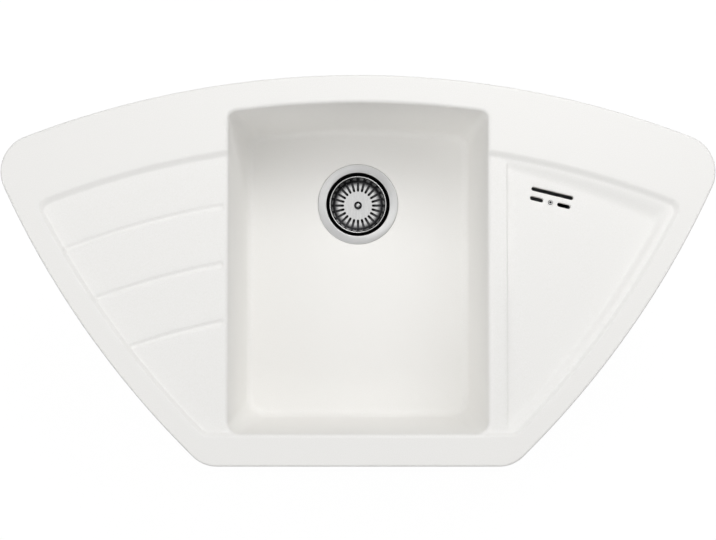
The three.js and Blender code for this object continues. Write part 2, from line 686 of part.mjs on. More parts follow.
function strainerCup() {
  const { bore, sheet, seatBore, ledge, wellHoles } = CUP;
  const cup = lathe([
    [0, wellTop - sheet], [ledge + sheet, wellTop - sheet], [ledge + sheet, seatTop - sheet],
    [seatBore + sheet, seatTop - sheet], [cupRadius, seatTop + 8], [cupRadius, flangeUnderside],
    [FLANGE_RADIUS, flangeUnderside], [FLANGE_RADIUS, flangeTop - 0.5], [FLANGE_RADIUS - 1.5, flangeTop],
    [bore + 1, flangeTop], [bore, flangeTop - 1], [bore, seatTop + 8], [seatBore, seatTop],
    [ledge, seatTop], [ledge, wellTop], [0, wellTop],
  ]);
  const holes = Array.from({ length: wellHoles }, (_, i) => {
    const angle = 2 * Math.PI * i / wellHoles;
    return cylinder(CUP_WELL_HOLE.radius, wellTop - sheet - 1, wellTop + 1, TINY_ROUND)
      .translate([CUP_WELL_HOLE.from * Math.cos(angle), CUP_WELL_HOLE.from * Math.sin(angle), 0]);
  });
  const screwHole = cylinder(WASTE_SCREW.radius + CLEARANCE, wellTop - sheet - 1, wellTop + 1, TINY_ROUND);
  return cutBy(cup, screwHole, ...holes);
}

const wasteTop = FLOOR_UNDERSIDE - WASTE_GASKET.thickness;
const cupUnderside = wellTop - CUP.sheet;
const hubTop = cupUnderside - CLEARANCE;
const hubBottom = hubTop - WASTE_HUB.height;
const spigotZ = cupUnderside - SPIGOT_BELOW_CUP;
const chamberBottom = hubBottom - 2;
const outletTop = chamberBottom - 18;
const outletBottom = outletTop - OUTLET.length;

// The housing's spigot points straight at the overflow's, so the hose lies in one upright plane.
const boxSpigotAt = overflowAt.clone().add(
  new THREE.Vector3(SHORT_SLOT.across, (OVERFLOW_BOX.front + OVERFLOW_BOX.back) / 2, 0)
    .applyAxisAngle(new THREE.Vector3(0, 0, 1), THREE.MathUtils.degToRad(overflowTurn)),
);
const hoseRun = new THREE.Vector3(boxSpigotAt.x, boxSpigotAt.y - DRAIN_FROM_FRONT, 0);
const hoseBearing = Math.atan2(hoseRun.y, hoseRun.x);
const wasteSpigotEnd = WASTE_BODY.chamber + WASTE_BODY.wall + SPIGOT.length;

const alongSpigot = (manifold) => manifold
  .rotate([0, 90, 0])
  .translate([0, 0, spigotZ])
  .rotate([0, 0, THREE.MathUtils.radToDeg(hoseBearing)]);

function wasteBody() {
  const { flange, wall, chamber } = WASTE_BODY;
  const bore = drainHole;
  const collar = wasteTop - flange;
  const outside = lathe([
    [0, outletBottom], [OUTLET.radius, outletBottom], [OUTLET.radius, outletTop],
    [chamber + wall, chamberBottom], [chamber + wall, spigotZ + SPIGOT.radius], [bore + wall, collar - 8],
    [bore + wall, collar], [WASTE_GASKET.radius, collar], [WASTE_GASKET.radius, wasteTop], [0, wasteTop],
  ]);
  const inside = lathe([
    [0, outletBottom - OVERSHOOT], [OUTLET.bore, outletBottom - OVERSHOOT], [OUTLET.bore, outletTop],
    [chamber, chamberBottom], [chamber, spigotZ + SPIGOT.bore], [bore, collar - 6],
    [bore, wasteTop + OVERSHOOT], [0, wasteTop + OVERSHOOT],
  ]);
  const spigot = alongSpigot(cylinder(SPIGOT.radius, chamber, wasteSpigotEnd, SMALL_ROUND));
  const spigotBore = alongSpigot(cylinder(SPIGOT.bore, chamber - 8, wasteSpigotEnd + OVERSHOOT, SMALL_ROUND));
  const hub = cylinder(WASTE_HUB.radius, hubBottom, hubTop, SMALL_ROUND);
  const ribs = Array.from({ length: WASTE_HUB.ribs / 2 }, (_, i) =>
    block(2 * chamber + wall, WASTE_HUB.rib, hubBottom, hubTop - 6).rotate([0, 0, 45 + 90 * i]));
  const screwHole = cylinder(WASTE_SCREW.radius + CLEARANCE, hubBottom - 1, hubTop + 1, TINY_ROUND);
  const nutPocket = cylinder(WASTE_NUT.radius + CLEARANCE, hubBottom - 1, nutTop, 6);
  return cutBy(joined(cutBy(outside.add(spigot), inside, spigotBore), hub, ...ribs), screwHole, nutPocket);
}

const nutTop = hubBottom + WASTE_NUT.height + 2;

place('strainer_flange', inDrain(strainerCup()), stainless());
const sealRing = washer(drainHole, FLANGE_RADIUS - 1, flangeSeat, flangeUnderside);
place('flange_seal', inDrain(sealRing), blackRubber());
const gasket = washer(drainHole, WASTE_GASKET.radius, wasteTop, FLOOR_UNDERSIDE);
place('waste_gasket', inDrain(gasket), blackRubber());
place('waste_body', inDrain(wasteBody()), whitePlastic());
place('waste_screw', inDrain(lathe([
  [0, wellTop - WASTE_SCREW.length], [WASTE_SCREW.radius, wellTop - WASTE_SCREW.length],
  [WASTE_SCREW.radius, wellTop], [WASTE_SCREW.headRadius, wellTop],
  [WASTE_SCREW.headRadius, wellTop + WASTE_SCREW.headHeight - 1],
  [WASTE_SCREW.headRadius - 2, wellTop + WASTE_SCREW.headHeight], [0, wellTop + WASTE_SCREW.headHeight],
], TINY_ROUND)), stainless());
place('waste_nut', inDrain(cutBy(
  cylinder(WASTE_NUT.radius, nutTop - WASTE_NUT.height, nutTop, 6),
  cylinder(WASTE_SCREW.radius + CLEARANCE, nutTop - WASTE_NUT.height - 1, nutTop + 1, TINY_ROUND),
)), brass());

// ---------------------------------------------------------------- strainer basket
const basketTop = flangeTop - BASKET.rimDrop;
const basketFloor = basketTop - BASKET.height;
const sealTop = seatTop + BASKET_SEAL.thickness;
const stemBore = BASKET_STEM.radius + CLEARANCE;

function basket() {
  const { rimRadius, rimBore, floorRadius, sheet } = BASKET;
  const turn = 2.5;
  const shell = lathe([
    [stemBore, basketFloor - sheet], [floorRadius - turn, basketFloor - sheet],
    [floorRadius + sheet, basketFloor + turn], [rimBore + sheet, basketTop - 1.5],
    [rimRadius, basketTop - 1.5], [rimRadius, basketTop - 0.5], [rimRadius - 0.5, basketTop],
    [rimBore + 0.5, basketTop], [rimBore, basketTop - 0.5], [floorRadius, basketFloor + turn],
    [floorRadius - turn, basketFloor], [stemBore, basketFloor], [stemBore, basketFloor - sheet],
  ], BASKET_SLOT.count * 2);
  const slots = Array.from({ length: BASKET_SLOT.count }, (_, i) =>
    block(BASKET_SLOT.to - BASKET_SLOT.from, BASKET_SLOT.width, basketFloor - sheet - 1, basketFloor + 1)
      .translate([(BASKET_SLOT.from + BASKET_SLOT.to) / 2, 0, 0])
      .rotate([0, 0, 360 * (i + 0.5) / BASKET_SLOT.count]));
  return cutBy(shell, ...slots);
}

const stemTop = basketFloor + BASKET_KNOB.height - 2;
const stemBottom = wellTop + WASTE_SCREW.headHeight + 2 * CLEARANCE;

place('basket', inDrain(basket()), stainless());
place('basket_stem', inDrain(lathe([
  [0, stemBottom], [BASKET_STEM.radius, stemBottom], [BASKET_STEM.radius, sealTop],
  [BASKET_STEM.sleeve, sealTop], [BASKET_STEM.sleeve, basketFloor - BASKET.sheet],
  [BASKET_STEM.radius, basketFloor - BASKET.sheet], [BASKET_STEM.radius, stemTop], [0, stemTop],
], TINY_ROUND)), stainless());
place('basket_seal', inDrain(washer(stemBore, BASKET_SEAL.radius, seatTop, sealTop)), blackRubber());
place('basket_knob', inDrain(cutBy(
  lathe([
    [0, basketFloor], [BASKET_KNOB.radius - 1.5, basketFloor], [BASKET_KNOB.radius - 1.5, basketFloor + 3],
    [BASKET_KNOB.radius, basketFloor + 4], [BASKET_KNOB.radius, basketFloor + BASKET_KNOB.height - 1],
    [BASKET_KNOB.radius - 1, basketFloor + BASKET_KNOB.height], [0, basketFloor + BASKET_KNOB.height],
  ], SMALL_ROUND),
  cylinder(stemBore, basketFloor - 1, stemTop + CLEARANCE, TINY_ROUND),
)), stainless());

// ---------------------------------------------------------------- outlet union and tailpiece
const tailTop = outletBottom - OUTLET_SEAL_THICKNESS;
const tailFlangeBottom = tailTop - TAILPIECE.flange;
const outletRing = OUTLET.radius - 0.6;

place('outlet_seal', inDrain(washer(TAILPIECE.bore, outletRing, tailTop, outletBottom)), blackRubber());
place('tailpiece', inDrain(lathe([
  [TAILPIECE.bore, tailTop - TAILPIECE.length], [TAILPIECE.radius, tailTop - TAILPIECE.length],
  [TAILPIECE.radius, tailFlangeBottom], [outletRing, tailFlangeBottom], [outletRing, tailTop],
  [TAILPIECE.bore, tailTop], [TAILPIECE.bore, tailTop - TAILPIECE.length],
])), whitePlastic());
place('outlet_nut', inDrain(lathe([
  [TAILPIECE.radius + CLEARANCE, tailFlangeBottom - OUTLET_NUT.lip],
  [OUTLET_NUT.radius - 3, tailFlangeBottom - OUTLET_NUT.lip],
  [OUTLET_NUT.radius, tailFlangeBottom],
  [OUTLET_NUT.radius, outletBottom + OUTLET_NUT.engagement],
  [OUTLET.radius + CLEARANCE, outletBottom + OUTLET_NUT.engagement],
  [OUTLET.radius + CLEARANCE, tailFlangeBottom],
  [TAILPIECE.radius + CLEARANCE, tailFlangeBottom],
  [TAILPIECE.radius + CLEARANCE, tailFlangeBottom - OUTLET_NUT.lip],
])), whitePlastic());

// ---------------------------------------------------------------- overflow box
const boxTop = TRAY_UNDERSIDE - OVERFLOW_GASKET.thickness;
const boxBottom = boxTop - OVERFLOW_BOX.height;
const boxMiddle = (OVERFLOW_BOX.front + OVERFLOW_BOX.back) / 2;
const boxDepth = OVERFLOW_BOX.back - OVERFLOW_BOX.front;
const boxSpigotEnd = boxBottom - SPIGOT.length;

const boxLength = 2 * OVERFLOW_BOX.halfLength;
const boxBlock = (margin, bottom, top) =>
  block(boxLength - 2 * margin, boxDepth - 2 * margin, bottom, top).translate([0, boxMiddle, 0]);

function overflowBox() {
  const { wall } = OVERFLOW_BOX;
  const floorMiddle = boxBottom + wall / 2;
  const pipeOf = (radius, bottom, top) =>
    cylinder(radius, bottom, top, SMALL_ROUND).translate([SHORT_SLOT.across, boxMiddle, 0]);
  const tub = boxBlock(0, boxBottom, boxTop).subtract(boxBlock(wall, boxBottom + wall, boxTop + OVERSHOOT));
  const pillar = cylinder(OVERFLOW_SCREW.radius + wall, floorMiddle, boxTop, TINY_ROUND);
  const web = block(wall, -OVERFLOW_BOX.front, floorMiddle, boxTop - 4)
    .translate([0, OVERFLOW_BOX.front / 2, 0]);
  const pipe = pipeOf(SPIGOT.radius, boxSpigotEnd, floorMiddle);
  const bore = pipeOf(SPIGOT.bore, boxSpigotEnd - OVERSHOOT, boxBottom + wall + 1);
  const pilot = cylinder(OVERFLOW_SCREW.radius + CLEARANCE, trayTopAtScrew - OVERFLOW_SCREW.length - 2,
    boxTop + OVERSHOOT, TINY_ROUND);
  return cutBy(joined(tub, pillar, web, pipe), bore, pilot);
}

place('overflow_box', inOverflow(overflowBox()), greyPlastic());
place('overflow_gasket', inOverflow(cutBy(
  boxBlock(0, boxTop, TRAY_UNDERSIDE),
  boxBlock(OVERFLOW_GASKET.width, boxTop - 1, TRAY_UNDERSIDE + 1),
)), greyFoam());

function overflowScrew() {
  const { radius, headRadius, headHeight, length } = OVERFLOW_SCREW;
  const seat = trayTopAtScrew + CLEARANCE;
  const body = lathe([
    [0, seat - length], [radius, seat - length], [radius, seat], [headRadius, seat],
    [headRadius, seat + headHeight * 0.5], [headRadius * 0.7, seat + headHeight], [0, seat + headHeight],
  ], SMALL_ROUND);
  return body.subtract(cylinder(headRadius * 0.4, seat + headHeight * 0.4, seat + headHeight + 1, 6));
}

place('overflow_screw', inOverflow(overflowScrew()), stainless());

// ---------------------------------------------------------------- overflow hose
// Straight down from the box, a quarter turn, then level to the waste housing, all in one upright plane.
const hoseTop = boxSpigotEnd - HOSE_WASHER_THICKNESS;
const hoseEnd = wasteSpigotEnd + HOSE_WASHER_THICKNESS;
const hoseDistance = hoseRun.length();
const hoseFall = hoseTop - spigotZ - HOSE.bend;
const hoseLevel = hoseDistance - HOSE.bend - hoseEnd;
const hoseTurn = HOSE.bend * Math.PI / 2;
const hoseLength = hoseFall + hoseTurn + hoseLevel;
const hoseCuff = 2 * HOSE.crest;

// The hose's centre line: how far it is from the drain's axis, its height, and the way it goes.
function hoseAt(s) {
  if (s < hoseFall) return { out: hoseDistance, z: hoseTop - s, goingOut: 0, goingUp: -1 };
  if (s < hoseFall + hoseTurn) {
    const angle = (s - hoseFall) / HOSE.bend;
    return {
      out: hoseDistance - HOSE.bend * (1 - Math.cos(angle)),
      z: spigotZ + HOSE.bend * (1 - Math.sin(angle)),
      goingOut: -Math.sin(angle),
      goingUp: -Math.cos(angle),
    };
  }
  return { out: hoseDistance - HOSE.bend - (s - hoseFall - hoseTurn), z: spigotZ, goingOut: -1, goingUp: 0 };
}

function hoseRing(s, radius) {
  const { out, z, goingOut, goingUp } = hoseAt(s);
  return Array.from({ length: HOSE.sides }, (_, i) => {
    const angle = 2 * Math.PI * i / HOSE.sides;
    const inPlane = radius * Math.cos(angle);
    const square = radius * Math.sin(angle);
    const reach = out + inPlane * goingUp;
    const height = z - inPlane * goingOut;
    return new THREE.Vector3(
      reach * Math.cos(hoseBearing) - square * Math.sin(hoseBearing),
      DRAIN_FROM_FRONT + reach * Math.sin(hoseBearing) + square * Math.cos(hoseBearing),
      height,
    );
  });
}

function ribbedHose() {
  const { bore, root, crest, ribs } = HOSE;
  const ribbed = hoseLength - 2 * hoseCuff;
  const pitch = ribbed / ribs;
  const outer = [hoseRing(0, root)];
  for (let i = 0; i < ribs; i += 1) {
    outer.push(hoseRing(hoseCuff + i * pitch, root));
    outer.push(hoseRing(hoseCuff + (i + 0.5) * pitch, crest));
  }
  outer.push(hoseRing(hoseLength - hoseCuff, root), hoseRing(hoseLength, root));
  const boreSteps = Math.ceil(ribs / 5);
  const inner = Array.from(
    { length: boreSteps + 1 },
    (_, i) => hoseRing(hoseLength * (1 - i / boreSteps), bore),
  );
  // Out along the skin, back along the bore, and closed end to end.
  const rings = [...outer, ...inner, outer[0]];
  return solid(skinGeometry(skin(rings)));
}

place('overflow_hose', ribbedHose(), greyPlastic());

function nutSleeve(middle) {
  const bore = SPIGOT.radius + CLEARANCE;
  const low = middle - HOSE_NUT.length / 2;
  const high = middle + HOSE_NUT.length / 2;
  return lathe([
    [bore, low], [HOSE_NUT.radius - 2, low], [HOSE_NUT.radius, low + 3], [HOSE_NUT.radius, high - 1],
    [HOSE_NUT.radius - 1, high], [bore, high], [bore, low],
  ], SMALL_ROUND);
}

const inBoxSpigot = (manifold) => manifold.translate([boxSpigotAt.x, boxSpigotAt.y, 0]);

const hoseWasher = (bottom, top) => washer(HOSE.bore, HOSE.root, bottom, top, SMALL_ROUND);

place('hose_top_washer', inBoxSpigot(hoseWasher(hoseTop, boxSpigotEnd)), blackRubber());
place('hose_top_nut', inBoxSpigot(nutSleeve((hoseTop + boxSpigotEnd) / 2)), whitePlastic());
place('hose_bottom_washer', inDrain(alongSpigot(hoseWasher(wasteSpigotEnd, hoseEnd))), blackRubber());
place('hose_bottom_nut', inDrain(alongSpigot(nutSleeve((wasteSpigotEnd + hoseEnd) / 2))), whitePlastic());

export default sink;
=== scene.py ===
"""Corner kitchen sink: the finished surfaces, materials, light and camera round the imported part.

Lengths are in millimetres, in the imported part's frame, and every mesh is turned into metres as it is made.
Plan outlines are worked out behind the straight front edge, as DEPTH, and moved to the frame at the end.
Profiles are lists of (r, z) points or (r, z, rounding) points.
"""
import json
import math

import bpy
import bmesh
import numpy as np
from mathutils import Matrix, Vector
from mathutils.geometry import delaunay_2d_cdt
from mathutils.kdtree import KDTree

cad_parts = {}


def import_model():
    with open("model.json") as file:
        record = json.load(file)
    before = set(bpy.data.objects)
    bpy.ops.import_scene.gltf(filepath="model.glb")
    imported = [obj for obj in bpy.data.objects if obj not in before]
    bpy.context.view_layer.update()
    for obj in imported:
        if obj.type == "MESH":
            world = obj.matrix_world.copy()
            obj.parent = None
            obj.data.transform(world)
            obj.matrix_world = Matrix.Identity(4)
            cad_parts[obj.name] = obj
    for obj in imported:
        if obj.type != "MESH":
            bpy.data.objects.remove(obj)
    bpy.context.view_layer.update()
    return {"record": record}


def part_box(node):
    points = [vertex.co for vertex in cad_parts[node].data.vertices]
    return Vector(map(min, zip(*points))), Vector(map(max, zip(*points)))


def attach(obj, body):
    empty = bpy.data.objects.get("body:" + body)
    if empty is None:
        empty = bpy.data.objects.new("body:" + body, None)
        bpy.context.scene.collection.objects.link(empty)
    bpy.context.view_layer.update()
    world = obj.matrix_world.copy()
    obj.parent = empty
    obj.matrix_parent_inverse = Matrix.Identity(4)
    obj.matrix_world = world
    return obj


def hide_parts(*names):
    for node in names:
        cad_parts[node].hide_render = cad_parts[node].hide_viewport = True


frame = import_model()

MM = 0.001
TURN = 2 * math.pi
QUARTER = math.pi / 2


def low(node):
    """A node's lowest corner, in millimetres."""
    return np.array(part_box(node)[0]) / MM


def high(node):
    """A node's highest corner, in millimetres."""
    return np.array(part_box(node)[1]) / MM


def middle(node):
    return (low(node) + high(node)) / 2


def span(node):
    """A node's lowest and highest level."""
    return low(node)[2], high(node)[2]


# ---------------------------------------------------------------- sizes: sink body
FRONT_Y = low("sink_body")[1]
DEPTH = high("sink_body")[1] - FRONT_Y
FLOOR_UNDERSIDE, RIM_TOP = span("sink_body")
RIM_UNDERSIDE = high("rim_sealing_strip")[2]
FLOOR_TOP = FLOOR_UNDERSIDE + 10

REAR_RADIUS = 1210
SIDE_RADIUS = 1200
FRONT_HALF_WIDTH = 201.6
REAR_HALF_WIDTH = 482.5
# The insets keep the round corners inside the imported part's faceted ones.
RIM_INSETS = {"front": 0, "left": 0.35, "right": 0.35, "rear": 0}
RIM_CORNERS = (45, 49)
RIM_EDGE = 3

RECESS_DEPTH = 5
RECESS_INSETS = {"front": 41.5, "left": 31, "right": 27.8, "rear": 89}
RECESS_CORNERS = (16, 12)
RECESS_RUN = {"side": 7, "rear": 11}
RECESS_RUN_BLEND = 30
DECK_TOP = RIM_TOP - RECESS_DEPTH
DECK_UNDERSIDE = DECK_TOP - 8
DECK_OUTSET = 6
TRAY_UNDERSIDE = RIM_TOP - 21
PAN_RUN = 3

BOWL_HALF_WIDTH = 169
BOWL_INSETS = {"front": 42.5, "rear": 37}
BOWL_CORNERS = (16, 10)
BOWL_SIDE_SPAN = (58.0, 450.0)
BOWL_EDGE = 5.5
BOWL_LEAN = 14
BOWL_CORNER_GAIN = 26
BOWL_FLOOR_RADIUS = 11
BOWL_WALL = 8
BOWL_WEB = 1
LEAST_CORNER = 4.0

GROOVE_COUNT = 3
FIRST_GROOVE = 157
GROOVE_PITCH = 74.4
GROOVE_WIDTH = 11.5
GROOVE_DEPTH = 2.3
GROOVE_END_X = -173
GROOVE_TURN = 0.32

TRAY_LEFT = 193.2
TRAY_SIDE_INSET = 34.9
TRAY_REAR_INSET = 93.5
TRAY_NEAR_DEPTH = 2.7
TRAY_FALL_ACROSS = 0.0245
TRAY_FALL_BACK = 0.0015
TRAY_FRONT = 62
TRAY_BLEND = {"left": 5, "right": 17}
TRAY_RUN = {"left": 2.8, "side": 11, "rear": 13, "rear_growth": 0.07}
TRAY_SOFTNESS = {"left": 0.4, "right": 0.9}

OVERFLOW_RADIUS = REAR_RADIUS - 136.5
OVERFLOW_BEARING = math.radians(13.54)
SHORT_SLOT_AT = 18.3
SLOTS = [(56.6, 0, 12.3), (18, -SHORT_SLOT_AT, 0), (18, SHORT_SLOT_AT, 0)]  # length, across and back
SLOT_WIDTH = 5.6
SLOT_EDGE = 0.5
SCREW_HOLE = 2.3
BAND = 0.8

CLIPS = range(1, 9)
CLIP_PLACES = [middle(f"clip_{i}_insert")[:2] - [0, FRONT_Y] for i in CLIPS]
INSERT_BOTTOM, INSERT_TOP = span("clip_1_insert")
BOSS = {"radius": 9, "fillet": 0.4, "bore": 4.7, "shaft": 3.1, "shaft_top": -3.2}

# Distances between the points of large faces, and points round holes and bosses
UPPER_SPACING, FLOOR_SPACING, LOWER_SPACING = 11, 14, 15
DRAIN_STEPS, SCREW_STEPS, BOSS_STEPS = 128, 24, 40

# ---------------------------------------------------------------- sizes: fittings
DRAIN = np.array([0.0, middle("strainer_flange")[1]])
DRAIN_IN_PLAN = (0, DRAIN[1] - FRONT_Y)
DRAIN_HOLE = 46.3
FLANGE_BOTTOM, FLANGE_TOP = span("strainer_flange")
FLANGE_RADIUS = high("strainer_flange")[0]
FLANGE_RECESS = 2


# ---------------------------------------------------------------- plan outlines
def around(angles, radius=1.0):
    """Points round the origin at one radius or at one for each angle."""
    return np.stack([radius * np.cos(angles), radius * np.sin(angles)], axis=1)


def bearing_of(way):
    return math.atan2(way[1], way[0])


def lengths(ways):
    return np.linalg.norm(ways, axis=-1)


def swept(start, end):
    """The bearing of a way, and how far it turns counter-clockwise to another."""
    first = bearing_of(start)
    return first, (bearing_of(end) - first) % TURN


class Straight:
    """A straight side of an outline: a point on it and the way in."""

    def __init__(self, point, inward):
        self.point = np.array(point, float)
        self.inward = np.array(inward, float)

    def depth(self, p):
        return (p - self.point) @ self.inward

    def inward_at(self, p):
        return np.broadcast_to(self.inward, np.shape(p))

    def between(self, start, end, shares):
        return start + shares[:, None] * (end - start)


class Bow:
    """A side that bulges out round a centre."""

    def __init__(self, centre, radius):
        self.centre = np.array(centre, float)
        self.radius = radius

    def depth(self, p):
        return self.radius - lengths(p - self.centre)

    def inward_at(self, p):
        away = self.centre - p
        return away / np.linalg.norm(away, axis=-1, keepdims=True)

    def between(self, start, end, shares):
        first, turn = swept(start - self.centre, end - self.centre)
        return self.centre + around(first + shares * turn, np.linalg.norm(start - self.centre))


def meeting(first, second, inset, guess):
    """The point at one inset from two sides, near a first guess."""
    p = np.array(guess, float)
    for _ in range(12):
        slopes = np.array([first.inward_at(p), second.inward_at(p)])
        p = p + np.linalg.solve(slopes, inset - np.array([first.depth(p), second.depth(p)]))
    return p


def even_shares(count):
    return np.arange(1, count + 1) / (count + 1)


def cross(a, b):
    return a[..., 0] * b[..., 1] - a[..., 1] * b[..., 0]


class Outline:
    """Sides in counter-clockwise order, with a rounded corner after each."""

    def __init__(self, sides, radii, guesses, shares, corner_steps):
        front, rear = radii
        self.sides, self.radii, self.guesses = sides, (front, rear, rear, front), guesses
        self.shares, self.corner_steps = shares, corner_steps
        self.corners = self.corners_at(0.0, 0.0)

    def corners_at(self, inset, gain):
        """Centre, radius and the ways to both ends of each corner's arc."""
        found = []
        for i, before in enumerate(self.sides):
            after = self.sides[(i + 1) % len(self.sides)]
            radius = max(self.radii[i] + gain - inset, LEAST_CORNER)
            centre = meeting(before, after, inset + radius, self.guesses[i])
            found.append((centre, radius, -before.inward_at(centre), -after.inward_at(centre)))
        return found

    def ring(self, inset=0.0, gain=0.0):
        corners = self.corners_at(inset, gain)
        rows = []
        for i, (centre, radius, start, end) in enumerate(corners):
            first, turn = swept(start, end)
            angles = first + turn * np.arange(self.corner_steps + 1) / self.corner_steps
            rows.append(centre + around(angles, radius))
            k = (i + 1) % len(corners)
            ahead = corners[k]
            rows.append(self.sides[k].between(rows[-1][-1], ahead[0] + ahead[1] * ahead[2], self.shares[k]))
        return np.concatenate(rows)

    def depth(self, p):
        """How far inside the outline each point is."""
        depth = np.min([side.depth(p) for side in self.sides], axis=0)
        for centre, radius, start, end in self.corners:
            away = p - centre
            in_wedge = (cross(start, away) >= 0) & (cross(away, end) >= 0)
            depth = np.where(in_wedge, radius - lengths(away), depth)
        return depth


REAR_CENTRE = np.array([0.0, DEPTH - REAR_RADIUS])


def side_centre(mirror):
    """Centre of a long side, from where it would meet the front edge and the rear edge."""
    rear_y = REAR_CENTRE[1] + math.sqrt(REAR_RADIUS ** 2 - REAR_HALF_WIDTH ** 2)
    start = np.array([FRONT_HALF_WIDTH, 0.0])
    end = np.array([REAR_HALF_WIDTH, rear_y])
    run = end - start
    chord = np.linalg.norm(run)
    back = math.sqrt(SIDE_RADIUS ** 2 - chord ** 2 / 4)
    centre = (start + end) / 2 + np.array([-run[1], run[0]]) / chord * back
    return centre * [mirror, 1]


def front_side(inset):
    return Straight((0, inset), (0, 1))


def rear_side(inset):
    return Bow(REAR_CENTRE, REAR_RADIUS - inset)


def long_side(mirror, inset):
    return Bow(side_centre(mirror), SIDE_RADIUS - inset)


def plate_outline(insets, corners, spacing, corner_steps):
    sides = [front_side(insets["front"]), long_side(1, insets["right"]), rear_side(insets["rear"]),
             long_side(-1, insets["left"])]
    guesses = [(200, 60), (400, 350), (-400, 350), (-200, 60)]
    shares = [even_shares(round(length / spacing)) for length in (2 * FRONT_HALF_WIDTH, 480, 900, 480)]
    return Outline(sides, corners, guesses, shares, corner_steps)


def bowl_outline(side_shares, end_count, corner_steps):
    sides = [front_side(BOWL_INSETS["front"]), Straight((BOWL_HALF_WIDTH, 0), (-1, 0)),
             rear_side(BOWL_INSETS["rear"]), Straight((-BOWL_HALF_WIDTH, 0), (1, 0))]
    guesses = [(150, 60), (150, 440), (-150, 440), (-150, 60)]
    ends = even_shares(end_count)
    shares = [ends, side_shares, ends, 1 - side_shares[::-1]]
    return Outline(sides, BOWL_CORNERS, guesses, shares, corner_steps)


def shares_near_step():
    """Shares along the bowl's side, drawn closer where the step of the recess runs into it."""
    start, end = BOWL_SIDE_SPAN
    step_at = REAR_CENTRE[1] + math.sqrt((REAR_RADIUS - RECESS_INSETS["rear"]) ** 2 - BOWL_HALF_WIDTH ** 2)
    share_of_step = (step_at - start) / (end - start)
    near = share_of_step + np.linspace(-0.035, 0.035, 29)
    far = np.array([share for share in even_shares(64) if abs(share - share_of_step) > 0.038])
    return np.sort(np.concatenate([near, far]))


rim = plate_outline(RIM_INSETS, RIM_CORNERS, 6, 16)
recess = plate_outline(RECESS_INSETS, RECESS_CORNERS, 4, 12)
bowl = bowl_outline(shares_near_step(), 48, 20)
bowl_outside = bowl_outline(even_shares(40), 36, 10)
TRAY_SIDES = (Straight((TRAY_LEFT, 0), (1, 0)), long_side(1, TRAY_SIDE_INSET), rear_side(TRAY_REAR_INSET))


# ---------------------------------------------------------------- heights of the plate
def soft_least(a, b, blend):
    """The lesser of two depths, rounded where they are nearly alike."""
    near = np.maximum(blend - np.abs(a - b), 0) / blend
    return np.minimum(a, b) - near ** 2 * blend / 4


def tray_depth(p):
    """How far inside the side tray each point is."""
    left, side, rear = (edge.depth(p) for edge in TRAY_SIDES)
    return soft_least(soft_least(left, rear, TRAY_BLEND["left"]), side, TRAY_BLEND["right"])


def tray_level(p):
    """0 at the tray's edge and 1 at the foot of its walls, which grow wider to the right along the rear."""
    left, side, rear = (edge.depth(p) for edge in TRAY_SIDES)
    rear_run = TRAY_RUN["rear"] + TRAY_RUN["rear_growth"] * np.maximum(left, 0)
    level = soft_least(left / TRAY_RUN["left"], rear / rear_run, TRAY_SOFTNESS["left"])
    return soft_least(level, side / TRAY_RUN["side"], TRAY_SOFTNESS["right"])


def tray_fall(p):
    across = TRAY_FALL_ACROSS * np.maximum(p[..., 0] - TRAY_LEFT, 0)
    return TRAY_NEAR_DEPTH + across + TRAY_FALL_BACK * (p[..., 1] - TRAY_FRONT)


def ease(t):
    t = np.clip(t, 0, 1)
    return t * t * (3 - 2 * t)


def groove_radius(number):
    return REAR_RADIUS - FIRST_GROOVE - number * GROOVE_PITCH


def groove_end(number):
    """Centre of a groove's round right end."""
    x = GROOVE_END_X - GROOVE_WIDTH / 2
    return np.array([x, REAR_CENTRE[1] + math.sqrt(groove_radius(number) ** 2 - x * x)])


def groove_share(p):
    """0 away from the grooves and 1 along their middles."""
    share = np.zeros(p.shape[:-1])
    radius = lengths(p - REAR_CENTRE)
    for number in range(GROOVE_COUNT):
        end = groove_end(number)
        across = np.where(p[..., 0] > end[0], lengths(p - end), np.abs(radius - groove_radius(number)))
        sunk = np.cos(np.clip(across / (GROOVE_WIDTH / 2), 0, 1) * math.pi / 2) ** 2
        share = np.maximum(share, np.where(p[..., 0] < 0, sunk, 0))
    return share


def recess_share(p):
    """0 outside the recess and 1 inside it. The step between is wider along the rear."""
    front, right, rear, left = (side.depth(p) for side in recess.sides)
    others = np.minimum(np.minimum(front, right), left)
    at_rear = ease(0.5 + (others - rear) / RECESS_RUN_BLEND)
    run = RECESS_RUN["side"] + (RECESS_RUN["rear"] - RECESS_RUN["side"]) * at_rear
    return ease((recess.depth(p) + run / 2) / run)


def top_height(p):
    """Height of the plate's upper face."""
    sunk = recess_share(p)
    tray = tray_fall(p) * ease(tray_level(p))
    return RIM_TOP - RECESS_DEPTH * sunk - tray - GROOVE_DEPTH * groove_share(p) * sunk ** 2


def underside_height(p):
    """Height of the plate's lower face."""
    deck = ease((recess.depth(p) + DECK_OUTSET + PAN_RUN / 2) / PAN_RUN)
    tray = ease((tray_depth(p) + PAN_RUN + 0.5) / PAN_RUN)
    return RIM_UNDERSIDE - (RIM_UNDERSIDE - DECK_UNDERSIDE) * deck - (DECK_UNDERSIDE - TRAY_UNDERSIDE) * tray


# ---------------------------------------------------------------- mesh making
def in_polygon(points, polygon):
    """Which points lie inside a closed polygon."""
    inside = np.zeros(len(points), bool)
    x, y = points[:, 0], points[:, 1]
    for (x0, y0), (x1, y1) in zip(polygon, np.roll(polygon, -1, axis=0)):
        if y0 != y1:
            inside ^= ((y0 > y) != (y1 > y)) & (x < (x1 - x0) * (y - y0) / (y1 - y0) + x0)
    return inside


